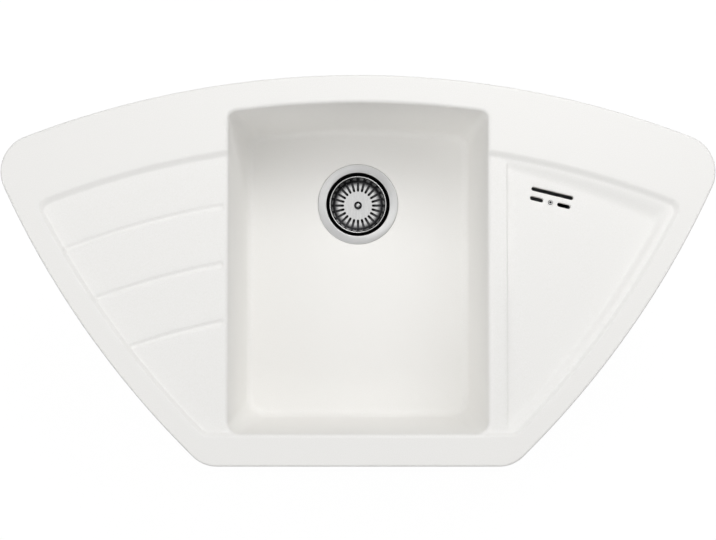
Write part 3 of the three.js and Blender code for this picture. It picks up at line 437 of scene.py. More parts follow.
def thinned(families, boundary, on_face):
    """Points of each family on a face that keep their distance from the boundary and earlier families."""
    kept = [boundary]
    for family, gap in families:
        points, earlier = on_face(family), np.concatenate(kept)
        tree = KDTree(len(earlier))
        for i, (x, y) in enumerate(earlier):
            tree.insert((x, y, 0), i)
        tree.balance()
        far = [tree.find((x, y, 0))[2] > gap for x, y in points]
        kept.append(points[np.array(far, bool)])
    return np.concatenate(kept[1:])


def placed(name, data):
    """An object that is added to the scene."""
    made = bpy.data.objects.new(name, data)
    bpy.context.scene.collection.objects.link(made)
    return made


def shaded(data, angle=30):
    """Smooth shading, with edges above an angle in degrees left sharp."""
    data.shade_smooth()
    data.set_sharp_from_angle(angle=math.radians(angle))


class Shell:
    """A mesh grown from closed loops of points."""

    def __init__(self):
        self.points = []
        self.faces = []

    def loop(self, points):
        """Adds a closed loop of points in space, and returns its indices."""
        first = len(self.points)
        self.points += [tuple(point) for point in points]
        return np.arange(first, len(self.points))

    def ring(self, plan, height):
        """Adds a closed loop from a plan and a height, or a height for each of its points."""
        return self.loop((x, y, z) for (x, y), z in zip(plan, np.broadcast_to(height, len(plan))))

    def bridge(self, a, b):
        """Faces between two loops of one length."""
        for i in range(len(a)):
            k = (i + 1) % len(a)
            self.faces.append((a[i], a[k], b[k], b[i]))

    def loft(self, start, rings):
        """Bridges from a loop through (plan, height) rings, and returns the last loop."""
        for plan, height in rings:
            end = self.ring(plan, height)
            self.bridge(start, end)
            start = end
        return start

    def cap(self, loop):
        self.faces.append(tuple(loop))

    def skin(self, loops, closed):
        """Bridges loops in turn, and either joins the last to the first or caps both."""
        for a, b in zip(loops, loops[1:]):
            self.bridge(a, b)
        if closed:
            self.bridge(loops[-1], loops[0])
        else:
            self.cap(loops[0])
            self.cap(loops[-1])

    def fill(self, outer, holes, inner=(), height=None):
        """Triangles inside a loop and outside its holes, through inner points at a height."""
        loops = [outer, *holes]
        used = np.concatenate(loops)
        plan = np.array([self.points[i][:2] for i in used])
        edges, first = [], 0
        for loop in loops:
            count = len(loop)
            edges += [(first + i, first + (i + 1) % count) for i in range(count)]
            first += count
        inner = np.asarray(inner, float).reshape(-1, 2)
        indices = list(used)
        if len(inner):
            indices += list(self.ring(inner, height(inner)))
        flat = [Vector(p) for p in np.concatenate([plan, inner])]
        verts, _, faces, origin = delaunay_2d_cdt(flat, edges, [], 0, 1e-7)[:4]
        where = [indices[ids[0]] for ids in origin]
        faces = np.array(faces)
        middles = np.array([v[:] for v in verts])[faces].mean(axis=1)
        keep = in_polygon(middles, plan[:len(outer)])
        first = len(outer)
        for loop in holes:
            keep &= ~in_polygon(middles, plan[first:first + len(loop)])
            first += len(loop)
        self.faces += [tuple(where[i] for i in face) for face in faces[keep]]

    def mesh(self, name, shift=(0, 0, 0), angle=30):
        """A closed Blender object with its faces pointing out."""
        data = bpy.data.meshes.new(name)
        points = (np.array(self.points) + np.array(shift)) * MM
        data.from_pydata(points.tolist(), [], [tuple(int(i) for i in f) for f in self.faces])
        tidy = bmesh.new()
        tidy.from_mesh(data)
        bmesh.ops.recalc_face_normals(tidy, faces=tidy.faces)
        if tidy.calc_volume(signed=True) < 0:
            bmesh.ops.reverse_faces(tidy, faces=tidy.faces)
        tidy.to_mesh(data)
        tidy.free()
        shaded(data, angle)
        return placed(name, data)


def walled(name, rings, shift=(0, 0, 0), closed=False):
    """A mesh through (plan, height) rings, capped at both ends or closed on itself."""
    shell = Shell()
    shell.skin([shell.ring(plan, height) for plan, height in rings], closed)
    return shell.mesh(name, shift)


def circle(radius, count, centre=(0, 0)):
    return np.array(centre) + around(TURN * np.arange(count) / count, radius)


def circles(profile, count, centre=(0, 0)):
    """Round rings from the points of a profile."""
    return [(circle(radius, count, centre), z) for radius, z in profile]


def edge_curve(steps):
    """Run and drop shares of a quarter round, without its start."""
    turns = np.linspace(0, QUARTER, steps + 1)[1:]
    return list(zip(np.sin(turns), 1 - np.cos(turns)))


def rounded(plan_at, height, radius, steps):
    """Rings of a rounded edge. Each has the plan at what is left of the radius to run."""
    return [(plan_at(radius * (1 - run)), height - radius * drop) for run, drop in edge_curve(steps)]


# ---------------------------------------------------------------- sink body
TO_BACK = np.array([math.sin(OVERFLOW_BEARING), math.cos(OVERFLOW_BEARING)])
ACROSS = np.array([math.cos(OVERFLOW_BEARING), -math.sin(OVERFLOW_BEARING)])
SCREW_IN_PLAN = REAR_CENTRE + OVERFLOW_RADIUS * TO_BACK


def slot_plan(slot, grown):
    """A round-ended slot of the overflow, grown all round, in the sink's plan."""
    length, across, back = slot
    half = (length - SLOT_WIDTH) / 2
    radius = SLOT_WIDTH / 2 + grown
    right = [half, 0] + around(np.linspace(-QUARTER, QUARTER, 11), radius)
    shares = even_shares(max(2, round(half / 2)))[:, None]
    top = right[-1] + shares * ([-half, radius] - right[-1])
    left = -right
    bottom = left[-1] + shares * ([half, -radius] - left[-1])
    local = np.concatenate([right, top, left, bottom]) + [across, back]
    return SCREW_IN_PLAN + local[:, :1] * ACROSS + local[:, 1:] * TO_BACK


def hexagonal(spacing):
    """An even spread of points over the whole sink."""
    rows = []
    for i, y in enumerate(np.arange(0, DEPTH, spacing * math.sqrt(3) / 2)):
        xs = np.arange(-REAR_HALF_WIDTH, REAR_HALF_WIDTH, spacing) + (i % 2) * spacing / 2
        rows.append(np.stack([xs, np.full(len(xs), y)], axis=1))
    return np.concatenate(rows)


def reach(centre, ways, depth, level, longest=400.0, halvings=40):
    """Where rays from a centre come to a depth, by halving."""
    near, far = np.zeros(len(ways)), np.full(len(ways), longest)
    for _ in range(halvings):
        half = (near + far) / 2
        inside = depth(centre + half[:, None] * ways) > level
        near, far = np.where(inside, half, near), np.where(inside, far, half)
    return centre + near[:, None] * ways


def rays(count):
    return around(np.linspace(0, TURN, count, endpoint=False))


def step_points():
    """Points along the step of the recess."""
    half = RECESS_RUN["rear"] / 2 + 0.3
    return np.concatenate([recess.ring(offset) for offset in np.linspace(-half, half, 17)])


def tray_points():
    """Points along the wall of the side tray, from a search for each depth along rays."""
    left, side, rear = TRAY_SIDES
    centre = np.mean([meeting(left, side, 3, (200, 70)), meeting(side, rear, 12, (420, 320)),
                      meeting(rear, left, 3, (200, 400))], axis=0)
    ways = rays(2400)
    edge = reach(centre, ways, tray_level, 0.0)
    walked = np.concatenate([[0], np.cumsum(lengths(np.diff(edge, axis=0)))])
    stops = np.searchsorted(walked, np.arange(0, walked[-1], 3.5))
    return np.concatenate([reach(centre, ways[stops], tray_level, level)
                           for level in np.linspace(-0.08, 1.08, 12)])


def groove_points():
    """Points along the grooves, and fanned round their right ends."""
    half = GROOVE_WIDTH / 2 + 0.3
    rows = []
    for number in range(GROOVE_COUNT):
        end, radius = groove_end(number), groove_radius(number)
        last = bearing_of(end - REAR_CENTRE)
        angles = np.arange(last, last + GROOVE_TURN, 3.0 / radius)
        rows += [REAR_CENTRE + around(angles, radius + across) for across in np.linspace(-half, half, 13)]
        fan = last - QUARTER + np.linspace(-QUARTER, QUARTER, 10)[1:-1]
        rows += [end + around(fan, away) for away in np.linspace(0.8, half, 6)]
    points = np.concatenate(rows)
    return points[recess.depth(points) > 0.5]


def on_upper_face(points):
    """Points on the plate, clear of its edge and of the bowl."""
    clear = BAND + 0.6
    return points[(rim.depth(points) > RIM_EDGE + clear) & (bowl.depth(points) < -BOWL_EDGE - clear)]


def on_lower_face(points):
    """Points under the plate, clear of its edge, of the bowl and of the bosses."""
    clear = (rim.depth(points) > 2) & (bowl.depth(points) < -BOWL_WALL - BOWL_WEB - 0.8)
    for centre in CLIP_PLACES:
        clear &= lengths(points - centre) > BOSS["radius"] + BOSS["fillet"] + 0.6
    return points[clear]


def bowl_wall(outline, levels, bottom, radius, outset, steps):
    """Rings down a side of the bowl's wall, which leans in while its corners open, and round its foot."""
    def ring(z, inset=0.0):
        fallen, whole = DECK_TOP - z, DECK_TOP - FLOOR_TOP
        return outline.ring(BOWL_LEAN * fallen / whole - outset + inset, BOWL_CORNER_GAIN * fallen / whole), z
    foot = bottom + radius
    return ([ring(z) for z in (*levels, foot)]
            + [ring(foot - radius * run, radius * drop) for run, drop in edge_curve(steps)])


def sink_body():
    shell = Shell()
    slot_plans = [slot_plan(slot, SLOT_EDGE) for slot in SLOTS]
    slot_tops = [shell.ring(plan, top_height(plan)) for plan in slot_plans]
    screw_plan = circle(SCREW_HOLE + 0.3, SCREW_STEPS, SCREW_IN_PLAN)
    screw_top = shell.ring(screw_plan, top_height(screw_plan))

    # Narrow flat bands beside the rounded edges keep their shading off the large faces.
    outer_plan = rim.ring(RIM_EDGE + BAND)
    outer_top = shell.ring(outer_plan, RIM_TOP)
    band_plan, bowl_plan = bowl.ring(-BOWL_EDGE - BAND), bowl.ring(-BOWL_EDGE)
    bowl_height = top_height(bowl_plan)
    bowl_top = shell.ring(band_plan, top_height(band_plan))

    # Upper face
    boundary = np.concatenate([outer_plan, band_plan, screw_plan, *slot_plans])
    families = [(step_points(), 0.45), (groove_points(), 0.7), (tray_points(), 0.6),
                (hexagonal(UPPER_SPACING), UPPER_SPACING / 2)]
    shell.fill(outer_top, [bowl_top, screw_top, *slot_tops], thinned(families, boundary, on_upper_face),
               top_height)

    # Outer edge
    outer_low = shell.loft(outer_top, [
        (rim.ring(RIM_EDGE), RIM_TOP), *rounded(rim.ring, RIM_TOP, RIM_EDGE, 6),
        (rim.ring(0), RIM_UNDERSIDE + 1), (rim.ring(1), RIM_UNDERSIDE)])

    # Bowl, inside
    floor_edge = shell.loft(bowl_top, [
        (bowl_plan, bowl_height), *rounded(lambda left: bowl.ring(-left), bowl_height, BOWL_EDGE, 8),
        *bowl_wall(bowl, (-4, -20, -50, -80, -110, -140), FLOOR_TOP, BOWL_FLOOR_RADIUS, 0, 10)])

    # Floor and drain
    seat_radius, seat = FLANGE_RADIUS + 0.1, FLOOR_TOP - FLANGE_RECESS
    seat_edge = shell.ring(circle(seat_radius + 0.5, DRAIN_STEPS, DRAIN_IN_PLAN), FLOOR_TOP)
    points = hexagonal(FLOOR_SPACING)
    clear = (bowl.depth(points) > BOWL_LEAN + BOWL_FLOOR_RADIUS + 8)
    clear &= lengths(points - DRAIN_IN_PLAN) > seat_radius + 8
    shell.fill(floor_edge, [seat_edge], points[clear], lambda p: np.full(len(p), FLOOR_TOP))
    drain_low = shell.loft(seat_edge, circles([
        (seat_radius + 0.2, FLOOR_TOP - 0.1), (seat_radius, FLOOR_TOP - 0.6), (seat_radius, seat),
        (DRAIN_HOLE, seat), (DRAIN_HOLE, FLOOR_UNDERSIDE)], DRAIN_STEPS, DRAIN_IN_PLAN))

    # Bowl, outside
    web_plan = bowl_outside.ring(-BOWL_WALL - BOWL_WEB)
    web_height = underside_height(web_plan)
    web = shell.ring(web_plan, web_height)
    shell.fill(shell.loft(web, [
        *rounded(lambda left: bowl_outside.ring(-BOWL_WALL - left), web_height, BOWL_WEB, 4),
        *bowl_wall(bowl_outside, (-60, -120), FLOOR_UNDERSIDE, BOWL_FLOOR_RADIUS + BOWL_WALL / 2,
                   BOWL_WALL, 6)]), [drain_low])

    # Holes through the plate, and the bosses of the rim fixings
    slot_lows = []
    for slot, plan, top in zip(SLOTS, slot_plans, slot_tops):
        edge = rounded(lambda left: slot_plan(slot, left), top_height(plan), SLOT_EDGE, 4)
        slot_lows.append(shell.loft(top, [*edge, (slot_plan(slot, 0), TRAY_UNDERSIDE)]))
    screw_low_plan = circle(SCREW_HOLE, SCREW_STEPS, SCREW_IN_PLAN)
    screw_low = shell.loft(screw_top, [(screw_low_plan, top_height(screw_plan) - 0.5),
                                       (screw_low_plan, TRAY_UNDERSIDE)])
    radius, fillet, bore, shaft = (BOSS[part] for part in ("radius", "fillet", "bore", "shaft"))
    boss_plans = [circle(radius + fillet, BOSS_STEPS, centre) for centre in CLIP_PLACES]
    boss_tops = []
    for centre, plan in zip(CLIP_PLACES, boss_plans):
        height = underside_height(plan)
        boss_tops.append(shell.ring(plan, height))
        shell.cap(shell.loft(boss_tops[-1], circles([
            (radius, height - fillet), (radius, INSERT_BOTTOM + 0.6), (radius - 0.6, INSERT_BOTTOM),
            (bore, INSERT_BOTTOM), (bore, INSERT_TOP), (shaft, INSERT_TOP), (shaft, BOSS["shaft_top"])],
            BOSS_STEPS, centre)))

    # Lower face
    boundary = np.concatenate([rim.ring(1), web_plan, screw_low_plan, *boss_plans,
                               *(slot_plan(slot, 0) for slot in SLOTS)])
    half = PAN_RUN / 2 + 0.2
    deck = np.concatenate([recess.ring(-DECK_OUTSET + offset) for offset in np.linspace(-half, half, 6)])
    tray = np.concatenate([reach(np.array([270.0, 270.0]), rays(180), tray_depth, level)
                           for level in -np.linspace(0.2, PAN_RUN + 0.8, 6)])
    families = [(deck, 0.5), (tray, 0.7), (hexagonal(LOWER_SPACING), 6)]
    shell.fill(outer_low, [web, screw_low, *slot_lows, *boss_tops],
               thinned(families, boundary, on_lower_face), underside_height)
    return shell.mesh("sink_moulding", (0, FRONT_Y, 0), 40)


# ---------------------------------------------------------------- materials
def rgb(red, green, blue):
    """A colour written as it looks on screen, from 0 to 255."""
    def linear(value):
        value /= 255
        return value / 12.92 if value <= 0.04045 else ((value + 0.055) / 1.055) ** 2.4
    return (linear(red), linear(green), linear(blue), 1)


class Paint:
    """A material and the nodes that feed its shader."""

    def __init__(self, name, roughness, metallic=0.0):
        self.material = bpy.data.materials.new(name)
        self.material.use_nodes = True
        self.tree = self.material.node_tree
        self.shader = self.tree.nodes["Principled BSDF"]
        self.feed(self.shader, {"Roughness": roughness, "Metallic": metallic})

    def feed(self, made, inputs):
        """Links outputs of nodes, and sets plain values, on a node's inputs."""
        for name, value in inputs.items():
            if isinstance(value, bpy.types.NodeSocket):
                self.tree.links.new(value, made.inputs[name])
            else:
                made.inputs[name].default_value = value

    def node(self, kind, inputs=None, **settings):
        """Adds a node and returns its outputs."""
        made = self.tree.nodes.new("ShaderNode" + kind)
        for name, value in settings.items():
            setattr(made, name, value)
        self.feed(made, inputs or {})
        return made.outputs

    def math(self, operation, *values):
        return self.node("Math", dict(enumerate(values)), operation=operation)[0]

    def mapped(self, scale=(1, 1, 1), at=(0, 0, 0)):
        """Object coordinates, moved to a centre and scaled."""
        return self.node("Mapping", {"Vector": self.node("TexCoord")["Object"], "Scale": scale,
                                     "Location": [-a * s for a, s in zip(at, scale)]})["Vector"]

    def noise(self, scale, detail, roughness=0.5, vector=None):
        return self.node("TexNoise", {"Vector": vector or self.mapped(), "Scale": scale, "Detail": detail,
                                      "Roughness": roughness})["Fac"]

    def cells(self, scale):
        return self.node("TexVoronoi", {"Vector": self.mapped(), "Scale": scale})["Distance"]

    def ranged(self, value, low_value, high_value, from_low=0.0, from_high=1.0):
        return self.node("MapRange", {"Value": value, "From Min": from_low, "From Max": from_high,
                                      "To Min": low_value, "To Max": high_value})["Result"]

    def blended(self, share, first, second):
        return self.node("MixRGB", {"Fac": share, "Color1": first, "Color2": second})["Color"]

    def polar(self, at):
        """Distance from an upright axis, and height, of each point."""
        x, y, z = self.node("SeparateXYZ", {0: self.mapped(at=at)})
        square = self.math("ADD", self.math("MULTIPLY", x, x), self.math("MULTIPLY", y, y))
        return self.math("SQRT", square), z

    def band(self, value, start, end, soft):
        """1 between two limits in millimetres and 0 outside, with a soft start and end."""
        return self.math("MULTIPLY", self.ranged(value, 0, 1, start * MM, (start + soft[0]) * MM),
                         self.ranged(value, 1, 0, (end - soft[1]) * MM, end * MM))

    def finished(self, share, colours, rough, relief):
        """Feeds the shader two colours by a share, roughness as (height, least, most) unless it is plain, and
        relief as (height, strength, distance)."""
        bump = self.node("Bump", dict(zip(("Height", "Strength", "Distance"), relief)))
        self.feed(self.shader, {"Base Color": self.blended(share, *colours), "Normal": bump["Normal"]})
        if rough:
            self.feed(self.shader, {"Roughness": self.ranged(*rough)})
        return self.material


DRAIN_METRES = (0, DRAIN[1] * MM, 0)
STEEL = (rgb(203, 203, 203), rgb(225, 225, 224))
BRIGHT_STEEL = (rgb(216, 216, 216), rgb(238, 238, 237))
# Colours of painted shade, laid where the drain's depths fall dark.
PAINTED_SHADE_STEEL = rgb(52, 52, 54)
PAINTED_CUP_SHADE = rgb(84, 84, 86)


def composite():
    """White mineral composite: a fine grain, and a sheen that varies a little."""
    paint = Paint("white_composite", 0.45)
    grain = paint.noise(900, 3, 0.6)
    return paint.finished(paint.ranged(grain, 0, 1, 0.36, 0.66), (rgb(247, 246, 243), rgb(253, 252, 250)),
                          (paint.noise(9, 2), 0.41, 0.5), (grain, 0.12, 0.0003))


def turned_steel(name, colours, rough, painted_shade):
    """Stainless steel brushed round the drain's axis, with painted shade over its depth."""
    paint = Paint(name, sum(rough) / 2, 1.0)
    radius, height = paint.polar(DRAIN_METRES)
    brushed = paint.noise(5200, 3, 0.7, paint.node("CombineXYZ", {0: radius, 2: height})[0])
    smear = paint.noise(60, 3, vector=paint.mapped(at=DRAIN_METRES))
    plain = paint.blended(paint.ranged(brushed, 0, 1, 0.3, 0.7), *colours)
    tangent = paint.node("Tangent", direction_type="RADIAL", axis="Z")[0]
    paint.feed(paint.shader, {"Anisotropic": 0.5, "Tangent": tangent})
    # Below the given height, the colour turns to painted shade.
    return paint.finished(paint.ranged(height, 1, 0, painted_shade - 0.0015, painted_shade), (plain, PAINTED_CUP_SHADE),
                          (smear, *rough), (brushed, 0.1, 0.00005))


def straight_steel(name, colours, rough, painted_shade=None):
    """Stainless steel brushed from front to rear, with painted shade over a share of it."""
    paint = Paint(name, sum(rough) / 2, 1.0)
    brushed = paint.noise(1.0, 3, 0.6, paint.mapped((3000, 60, 3000), DRAIN_METRES))
    smear = paint.noise(80, 3, vector=paint.mapped(at=DRAIN_METRES))
    share = paint.ranged(brushed, 0, 1, 0.3, 0.7)
    # The mask picks where the colour turns to painted shade.
    if painted_shade:
        plain = paint.blended(share, *colours)
        share, colours = painted_shade(paint, *paint.polar(DRAIN_METRES)), (plain, PAINTED_SHADE_STEEL)
    return paint.finished(share, colours, (smear, *rough), (brushed, 0.12, 0.00006))


def painted_basket_wall_shade(paint, radius, height):
    """Painted shade on the inside of the basket's wall, which looks up and sees only the drain's depth: its
    dark reflection is painted into the colour.
    """
    looks_up = paint.node("SeparateXYZ", {0: paint.node("TexCoord")["Normal"]})[2]
    return paint.math("MULTIPLY", paint.ranged(looks_up, 0, 1, 0.02, 0.1),
                      paint.band(radius, 27, 38.9, (5.5, 0.5)))


def painted_socket_shade(top):
    """Painted shade on the sides and floor of the groove or socket in a small turned head."""
    return lambda paint, radius, height: paint.band(height, top - 3, top - 0.2, (0.3, 0.3))


def zinc():
    """Zinc-plated steel: a faint crystal pattern and a passivated tint."""
    paint = Paint("zinc_plate", 0.36, 1.0)
    return paint.finished(paint.cells(420.0), (rgb(196, 199, 204), rgb(222, 222, 214)),
                          (paint.noise(130, 3), 0.26, 0.5), (paint.noise(800, 2), 0.12, 0.0002))


def brass():
    paint = Paint("turned_brass", 0.33, 1.0)
    marks = paint.noise(1.0, 2, vector=paint.mapped((200, 200, 4000)))
    return paint.finished(paint.noise(240, 3), (rgb(196, 158, 84), rgb(226, 192, 118)),
                          (paint.noise(500, 2), 0.24, 0.42), (marks, 0.15, 0.0001))


def rubber():
    paint = Paint("moulded_rubber", 0.72)
    bloom = paint.ranged(paint.noise(90, 4), 0, 1, 0.35, 0.75)
    return paint.finished(bloom, (rgb(30, 30, 31), rgb(52, 52, 53)),
                          (paint.noise(400, 2), 0.6, 0.85), (paint.noise(1500, 3), 0.2, 0.0002))


def foam():
    paint = Paint("closed_cell_foam", 0.95)
    cells = paint.cells(1400.0)
    return paint.finished(cells, (rgb(96, 98, 101), rgb(142, 144, 147)), None, (cells, 0.5, 0.0004))


def plastic(name, colours, rough):
    """Moulded plastic with a fine spark-eroded texture and faint flow marks."""
    paint = Paint(name, sum(rough) / 2)
    flow = paint.ranged(paint.noise(1.0, 3, vector=paint.mapped((14, 14, 40))), 0, 1, 0.35, 0.65)
    return paint.finished(flow, colours, (paint.noise(160, 2), *rough), (paint.noise(2200, 3), 0.15, 0.00015))


# Each finish is a material and the name of its slot.
WHITE_COMPOSITE = composite(), "composite"
# The flange, basket, knob and socket steels carry painted shade in their depths.
FLANGE_STEEL = turned_steel("turned_steel", STEEL, (0.3, 0.42), (FLANGE_TOP - 1.2) * MM), "stainless"
BASKET_STEEL = straight_steel("brushed_steel", BRIGHT_STEEL, (0.16, 0.26), painted_basket_wall_shade), "stainless"
SCREW_STEEL = straight_steel("bright_steel", BRIGHT_STEEL, (0.18, 0.28)), "stainless"
KNOB_STEEL = (straight_steel("knob_steel", BRIGHT_STEEL, (0.18, 0.28), painted_socket_shade(high("basket_knob")[2])),
              "stainless")
SOCKET_STEEL = (straight_steel("socket_steel", STEEL, (0.3, 0.4), painted_socket_shade(high("overflow_screw")[2])),
                "stainless")
ZINC = zinc(), "zinc_steel"
BRASS = brass(), "brass"
RUBBER = rubber(), "black_rubber"
FOAM = foam(), "grey_foam"
WHITE_PLASTIC = (plastic("white_polypropylene", (rgb(226, 227, 225), rgb(238, 238, 236)), (0.38, 0.5)),
                 "white_plastic")
GREY_PLASTIC = (plastic("grey_polypropylene", (rgb(120, 123, 126), rgb(142, 145, 148)), (0.42, 0.56)),
                "grey_plastic")

# ---------------------------------------------------------------- fitting pieces to the frame
BODY_OF = {name: body for body, names in frame["record"]["behaviour"]["bodies"].items() for name in names}


def fit(made, finish, name):
    """Dresses a piece, stands it for a CAD node and makes it ride with that node's body."""
    material, slot = finish
    made.data.materials.append(material)
    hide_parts(name)
    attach(made, BODY_OF[name])


fit(sink_body(), WHITE_COMPOSITE, "sink_body")


# ---------------------------------------------------------------- lathe work
def softened(profile, steps=4):
    """The points of a profile with its roundings drawn out."""
    spots = [np.array(p[:2], float) for p in profile]
    rounding = [p[2] if len(p) > 2 else 0 for p in profile]
    out = []
    for i, spot in enumerate(spots):
        if not rounding[i]:
            out.append(spot)
            continue
        before, after = spots[i - 1] - spot, spots[(i + 1) % len(spots)] - spot
        reach_before, reach_after = np.linalg.norm(before), np.linalg.norm(after)
        way_in, way_out = before / reach_before, after / reach_after
        half = math.acos(np.clip(way_in @ way_out, -1, 1)) / 2
        run = min(rounding[i] / math.tan(half), reach_before * 0.49, reach_after * 0.49)
        radius = run * math.tan(half)
        middle_way = (way_in + way_out) / np.linalg.norm(way_in + way_out)
        centre = spot + middle_way * radius / math.sin(half)
        first = bearing_of(spot + way_in * run - centre)
        turn = (bearing_of(spot + way_out * run - centre) - first + math.pi) % TURN - math.pi
        for k in range(steps + 1):
            angle = first + turn * k / steps
            out.append(centre + radius * np.array([math.cos(angle), math.sin(angle)]))
    return out


def turned(name, profile, count=96, at=(0, 0), shape=lambda radius, z, angles: radius):
    """Turns a profile round the Z axis: a closed ring, or a solid where it starts and ends on the axis."""
    solid = profile[0][0] < 1e-6
    spots = softened(profile)[1:-1] if solid else softened(profile)
    angles = TURN * np.arange(count) / count
    rings = [(around(angles, shape(radius, z, angles)), z) for radius, z in spots]
    return walled(name, rings, (*at, 0), not solid)


def grips(count, depth, outer, bottom, top):
    """Shallow grip flutes round the outside of a nut."""
    def shape(radius, z, angles):
        inside = (radius > outer - 1.5) & (bottom < z < top)
        flute = np.clip(np.cos(count * angles) * 1.6 - 0.6, 0, 1)
        return radius - depth * flute * inside
    return shape


def thread(pitch, depth, outer, bottom, top):
    """A round thread on the shank between two heights."""
    def shape(radius, z, angles):
        if abs(radius - outer) > 1e-6 or not bottom < z < top:
            return radius
        fade = min(1, (z - bottom) / pitch, (top - z) / pitch)
        wave = 0.5 - 0.5 * np.cos(2 * math.pi * z / pitch - angles)
        return radius - depth * fade * wave
    return shape


def hexagon(corner, angles):
    """Distance to the side of a hexagon at each angle."""
    return corner * math.cos(math.pi / 6) / np.cos(angles % (math.pi / 3) - math.pi / 6)


def shank(radius, bottom, top, pitch, per_pitch=5):
    """Profile points of a threaded shank, from its bottom to its top."""
    count = round((top - bottom) / pitch * per_pitch)
    return [(radius, z) for z in np.linspace(bottom, top, count + 1)]


def bar(size, at):
    """A plain block used as a cutting or joining tool."""
    x, y, z = (length / 2 for length in size)
    plan = [(-x, -y), (x, -y), (x, y), (-x, y)]
    return walled("tool", [(plan, -z), (plan, z)], at)


def rod(radius, bottom, top, count=48, at=(0, 0)):
    """A plain round bar used as a cutting or joining tool."""
    return turned("tool", [(0, bottom), (radius, bottom), (radius, top), (0, top)], count, at)


def cut(made, tool, operation="DIFFERENCE"):
    """Cuts or joins a tool, and takes the tool away."""
    step = made.modifiers.new("shape", "BOOLEAN")
    step.operation = operation
    step.solver = "EXACT"
    step.object = tool
    deps = bpy.context.evaluated_depsgraph_get()
    plain, made.data = made.data, bpy.data.meshes.new_from_object(made.evaluated_get(deps))
    made.modifiers.clear()
    bpy.data.meshes.remove(plain)
    bpy.data.objects.remove(tool)
    shaded(made.data)
    return made


def joined(made, tool):
    return cut(made, tool, "UNION")


def moved(made, matrix):
    made.data.transform(matrix)
    made.data.update()
    return made


def turned_about(at, bearing):
    """Turns about Z by a bearing and then moves to a place in plan, in millimetres."""
    return Matrix.Translation((at[0] * MM, at[1] * MM, 0)) @ Matrix.Rotation(bearing, 4, "Z")


def ring_profile(bore, radius, bottom, top, rounding=0.4):
    return [(bore, bottom), (radius, bottom, rounding), (radius, top, rounding), (bore, top)]


def washer(name, node_name, bore, at, rounding=0.4):
    """A flat ring that fills its node's height."""
    radius = (high(node_name)[0] - low(node_name)[0]) / 2
    return turned(name, ring_profile(bore, radius, *span(node_name), rounding), 96, at)


# ---------------------------------------------------------------- waste
SHEET = 1.2
SEAT = {"top": low("basket_seal")[2], "bore": 38, "cup": 44.5}
WELL = {"radius": 20, "top": FLANGE_BOTTOM + SHEET, "holes": 6, "hole": 4, "at": 12.8}
SCREW_BORE = 3.1
STEM_BORE = 3.3


def pressed(name, count, edge, level, profile, steps, holes):
    """A pressed bowl of sheet metal round a flat floor with holes, each given as (top plan, rings below)."""
    shell = Shell()
    top = shell.ring(circle(edge, count), level)
    tops, lows = [], []
    for plan, rings in holes:
        tops.append(shell.ring(plan, level))
        lows.append(shell.loft(tops[-1], rings))
    bottom = shell.loft(top, circles(softened(profile, steps)[1:], count))
    shell.fill(top, tops)
    shell.fill(bottom, lows)
    return shell.mesh(name, (*DRAIN, 0), 35)


def strainer_flange():
    well, well_top, seat, seat_bore, cup = WELL["radius"], WELL["top"], SEAT["top"], SEAT["bore"], SEAT["cup"]
    spots = [(SCREW_BORE, (0, 0))] + [(WELL["hole"], spot) for spot in circle(WELL["at"], WELL["holes"])]
    plans = [circle(radius, 28, spot) for radius, spot in spots]
    return pressed("waste_flange", 96, well - 1, well_top, [
        (well - 1, well_top), (well, well_top, 1.5), (well, seat, 1.2), (seat_bore, seat, 2.5),
        (cup, seat + 8, 4), (cup, FLANGE_TOP, 0.9), (FLANGE_RADIUS, FLANGE_TOP, 1.1),
        (FLANGE_RADIUS, FLANGE_TOP - 1.5), (cup + SHEET, FLANGE_TOP - 1.5, 0.5), (cup + SHEET, seat + 8, 4),
        (seat_bore + SHEET, seat - SHEET, 2.5), (well + SHEET, seat - SHEET, 0.6),
        (well + SHEET, well_top - SHEET, 1.8), (well - 1, well_top - SHEET)], 5,
        [(plan, [(plan, well_top - SHEET)]) for plan in plans])


BASKET_BOTTOM, BASKET_TOP = span("basket")
BASKET_FLOOR = BASKET_BOTTOM + SHEET
BASKET_RIM = high("basket")[0]
BASKET_EDGE = 32.9
BASKET_SLOTS = {"count": 24, "from": 19.9, "to": 32.2, "width": 3.3}


def basket_slot(number):
    """A round-ended radial slot in the basket's floor."""
    bearing = TURN * number / BASKET_SLOTS["count"]
    radius = BASKET_SLOTS["width"] / 2
    turns = np.linspace(-QUARTER, QUARTER, 9)
    plan = np.concatenate([[BASKET_SLOTS["to"] - radius, 0] + around(turns, radius),
                           [BASKET_SLOTS["from"] + radius, 0] + around(turns, -radius)])
    c, s = math.cos(bearing), math.sin(bearing)
    return plan @ np.array([[c, s], [-s, c]])


def basket():
    floor, under = BASKET_FLOOR, BASKET_FLOOR - SHEET
    bore = circle(STEM_BORE, 24)
    holes = [(bore, [(bore, under)])]
    for number in range(BASKET_SLOTS["count"]):
        plan = basket_slot(number)
        centre = plan.mean(axis=0)
        holes.append((centre + (plan - centre) * 1.035, [(plan, floor - 0.35), (plan, under)]))
    return pressed("strainer_insert", 120, BASKET_EDGE, floor, [
        (BASKET_EDGE, floor), (34.0, floor, 1.3), (37.4, BASKET_TOP - 1.6, 3), (38.7, BASKET_TOP, 0.6),
        (BASKET_RIM, BASKET_TOP, 0.6), (BASKET_RIM, BASKET_TOP - 1.8, 0.5), (38.8, BASKET_TOP - 2.2, 0.5),
        (35.0, under, 2.2), (BASKET_EDGE, under)], 6, holes)


def knob():
    base, top = span("basket_knob")
    return turned("lifting_knob", [
        (0, base), (4.6, base, 0.3), (4.0, base + 1.2, 0.6), (3.7, base + 3.2, 0.8), (5.5, base + 4.2, 0.5),
        (5.5, top - 0.8, 0.5), (4.9, top - 0.6, 0.3), (4.3, top - 2.4, 0.4), (2.7, top - 2.4, 0.4),
        (2.1, top - 0.1, 0.4), (0, top)], 64, DRAIN)


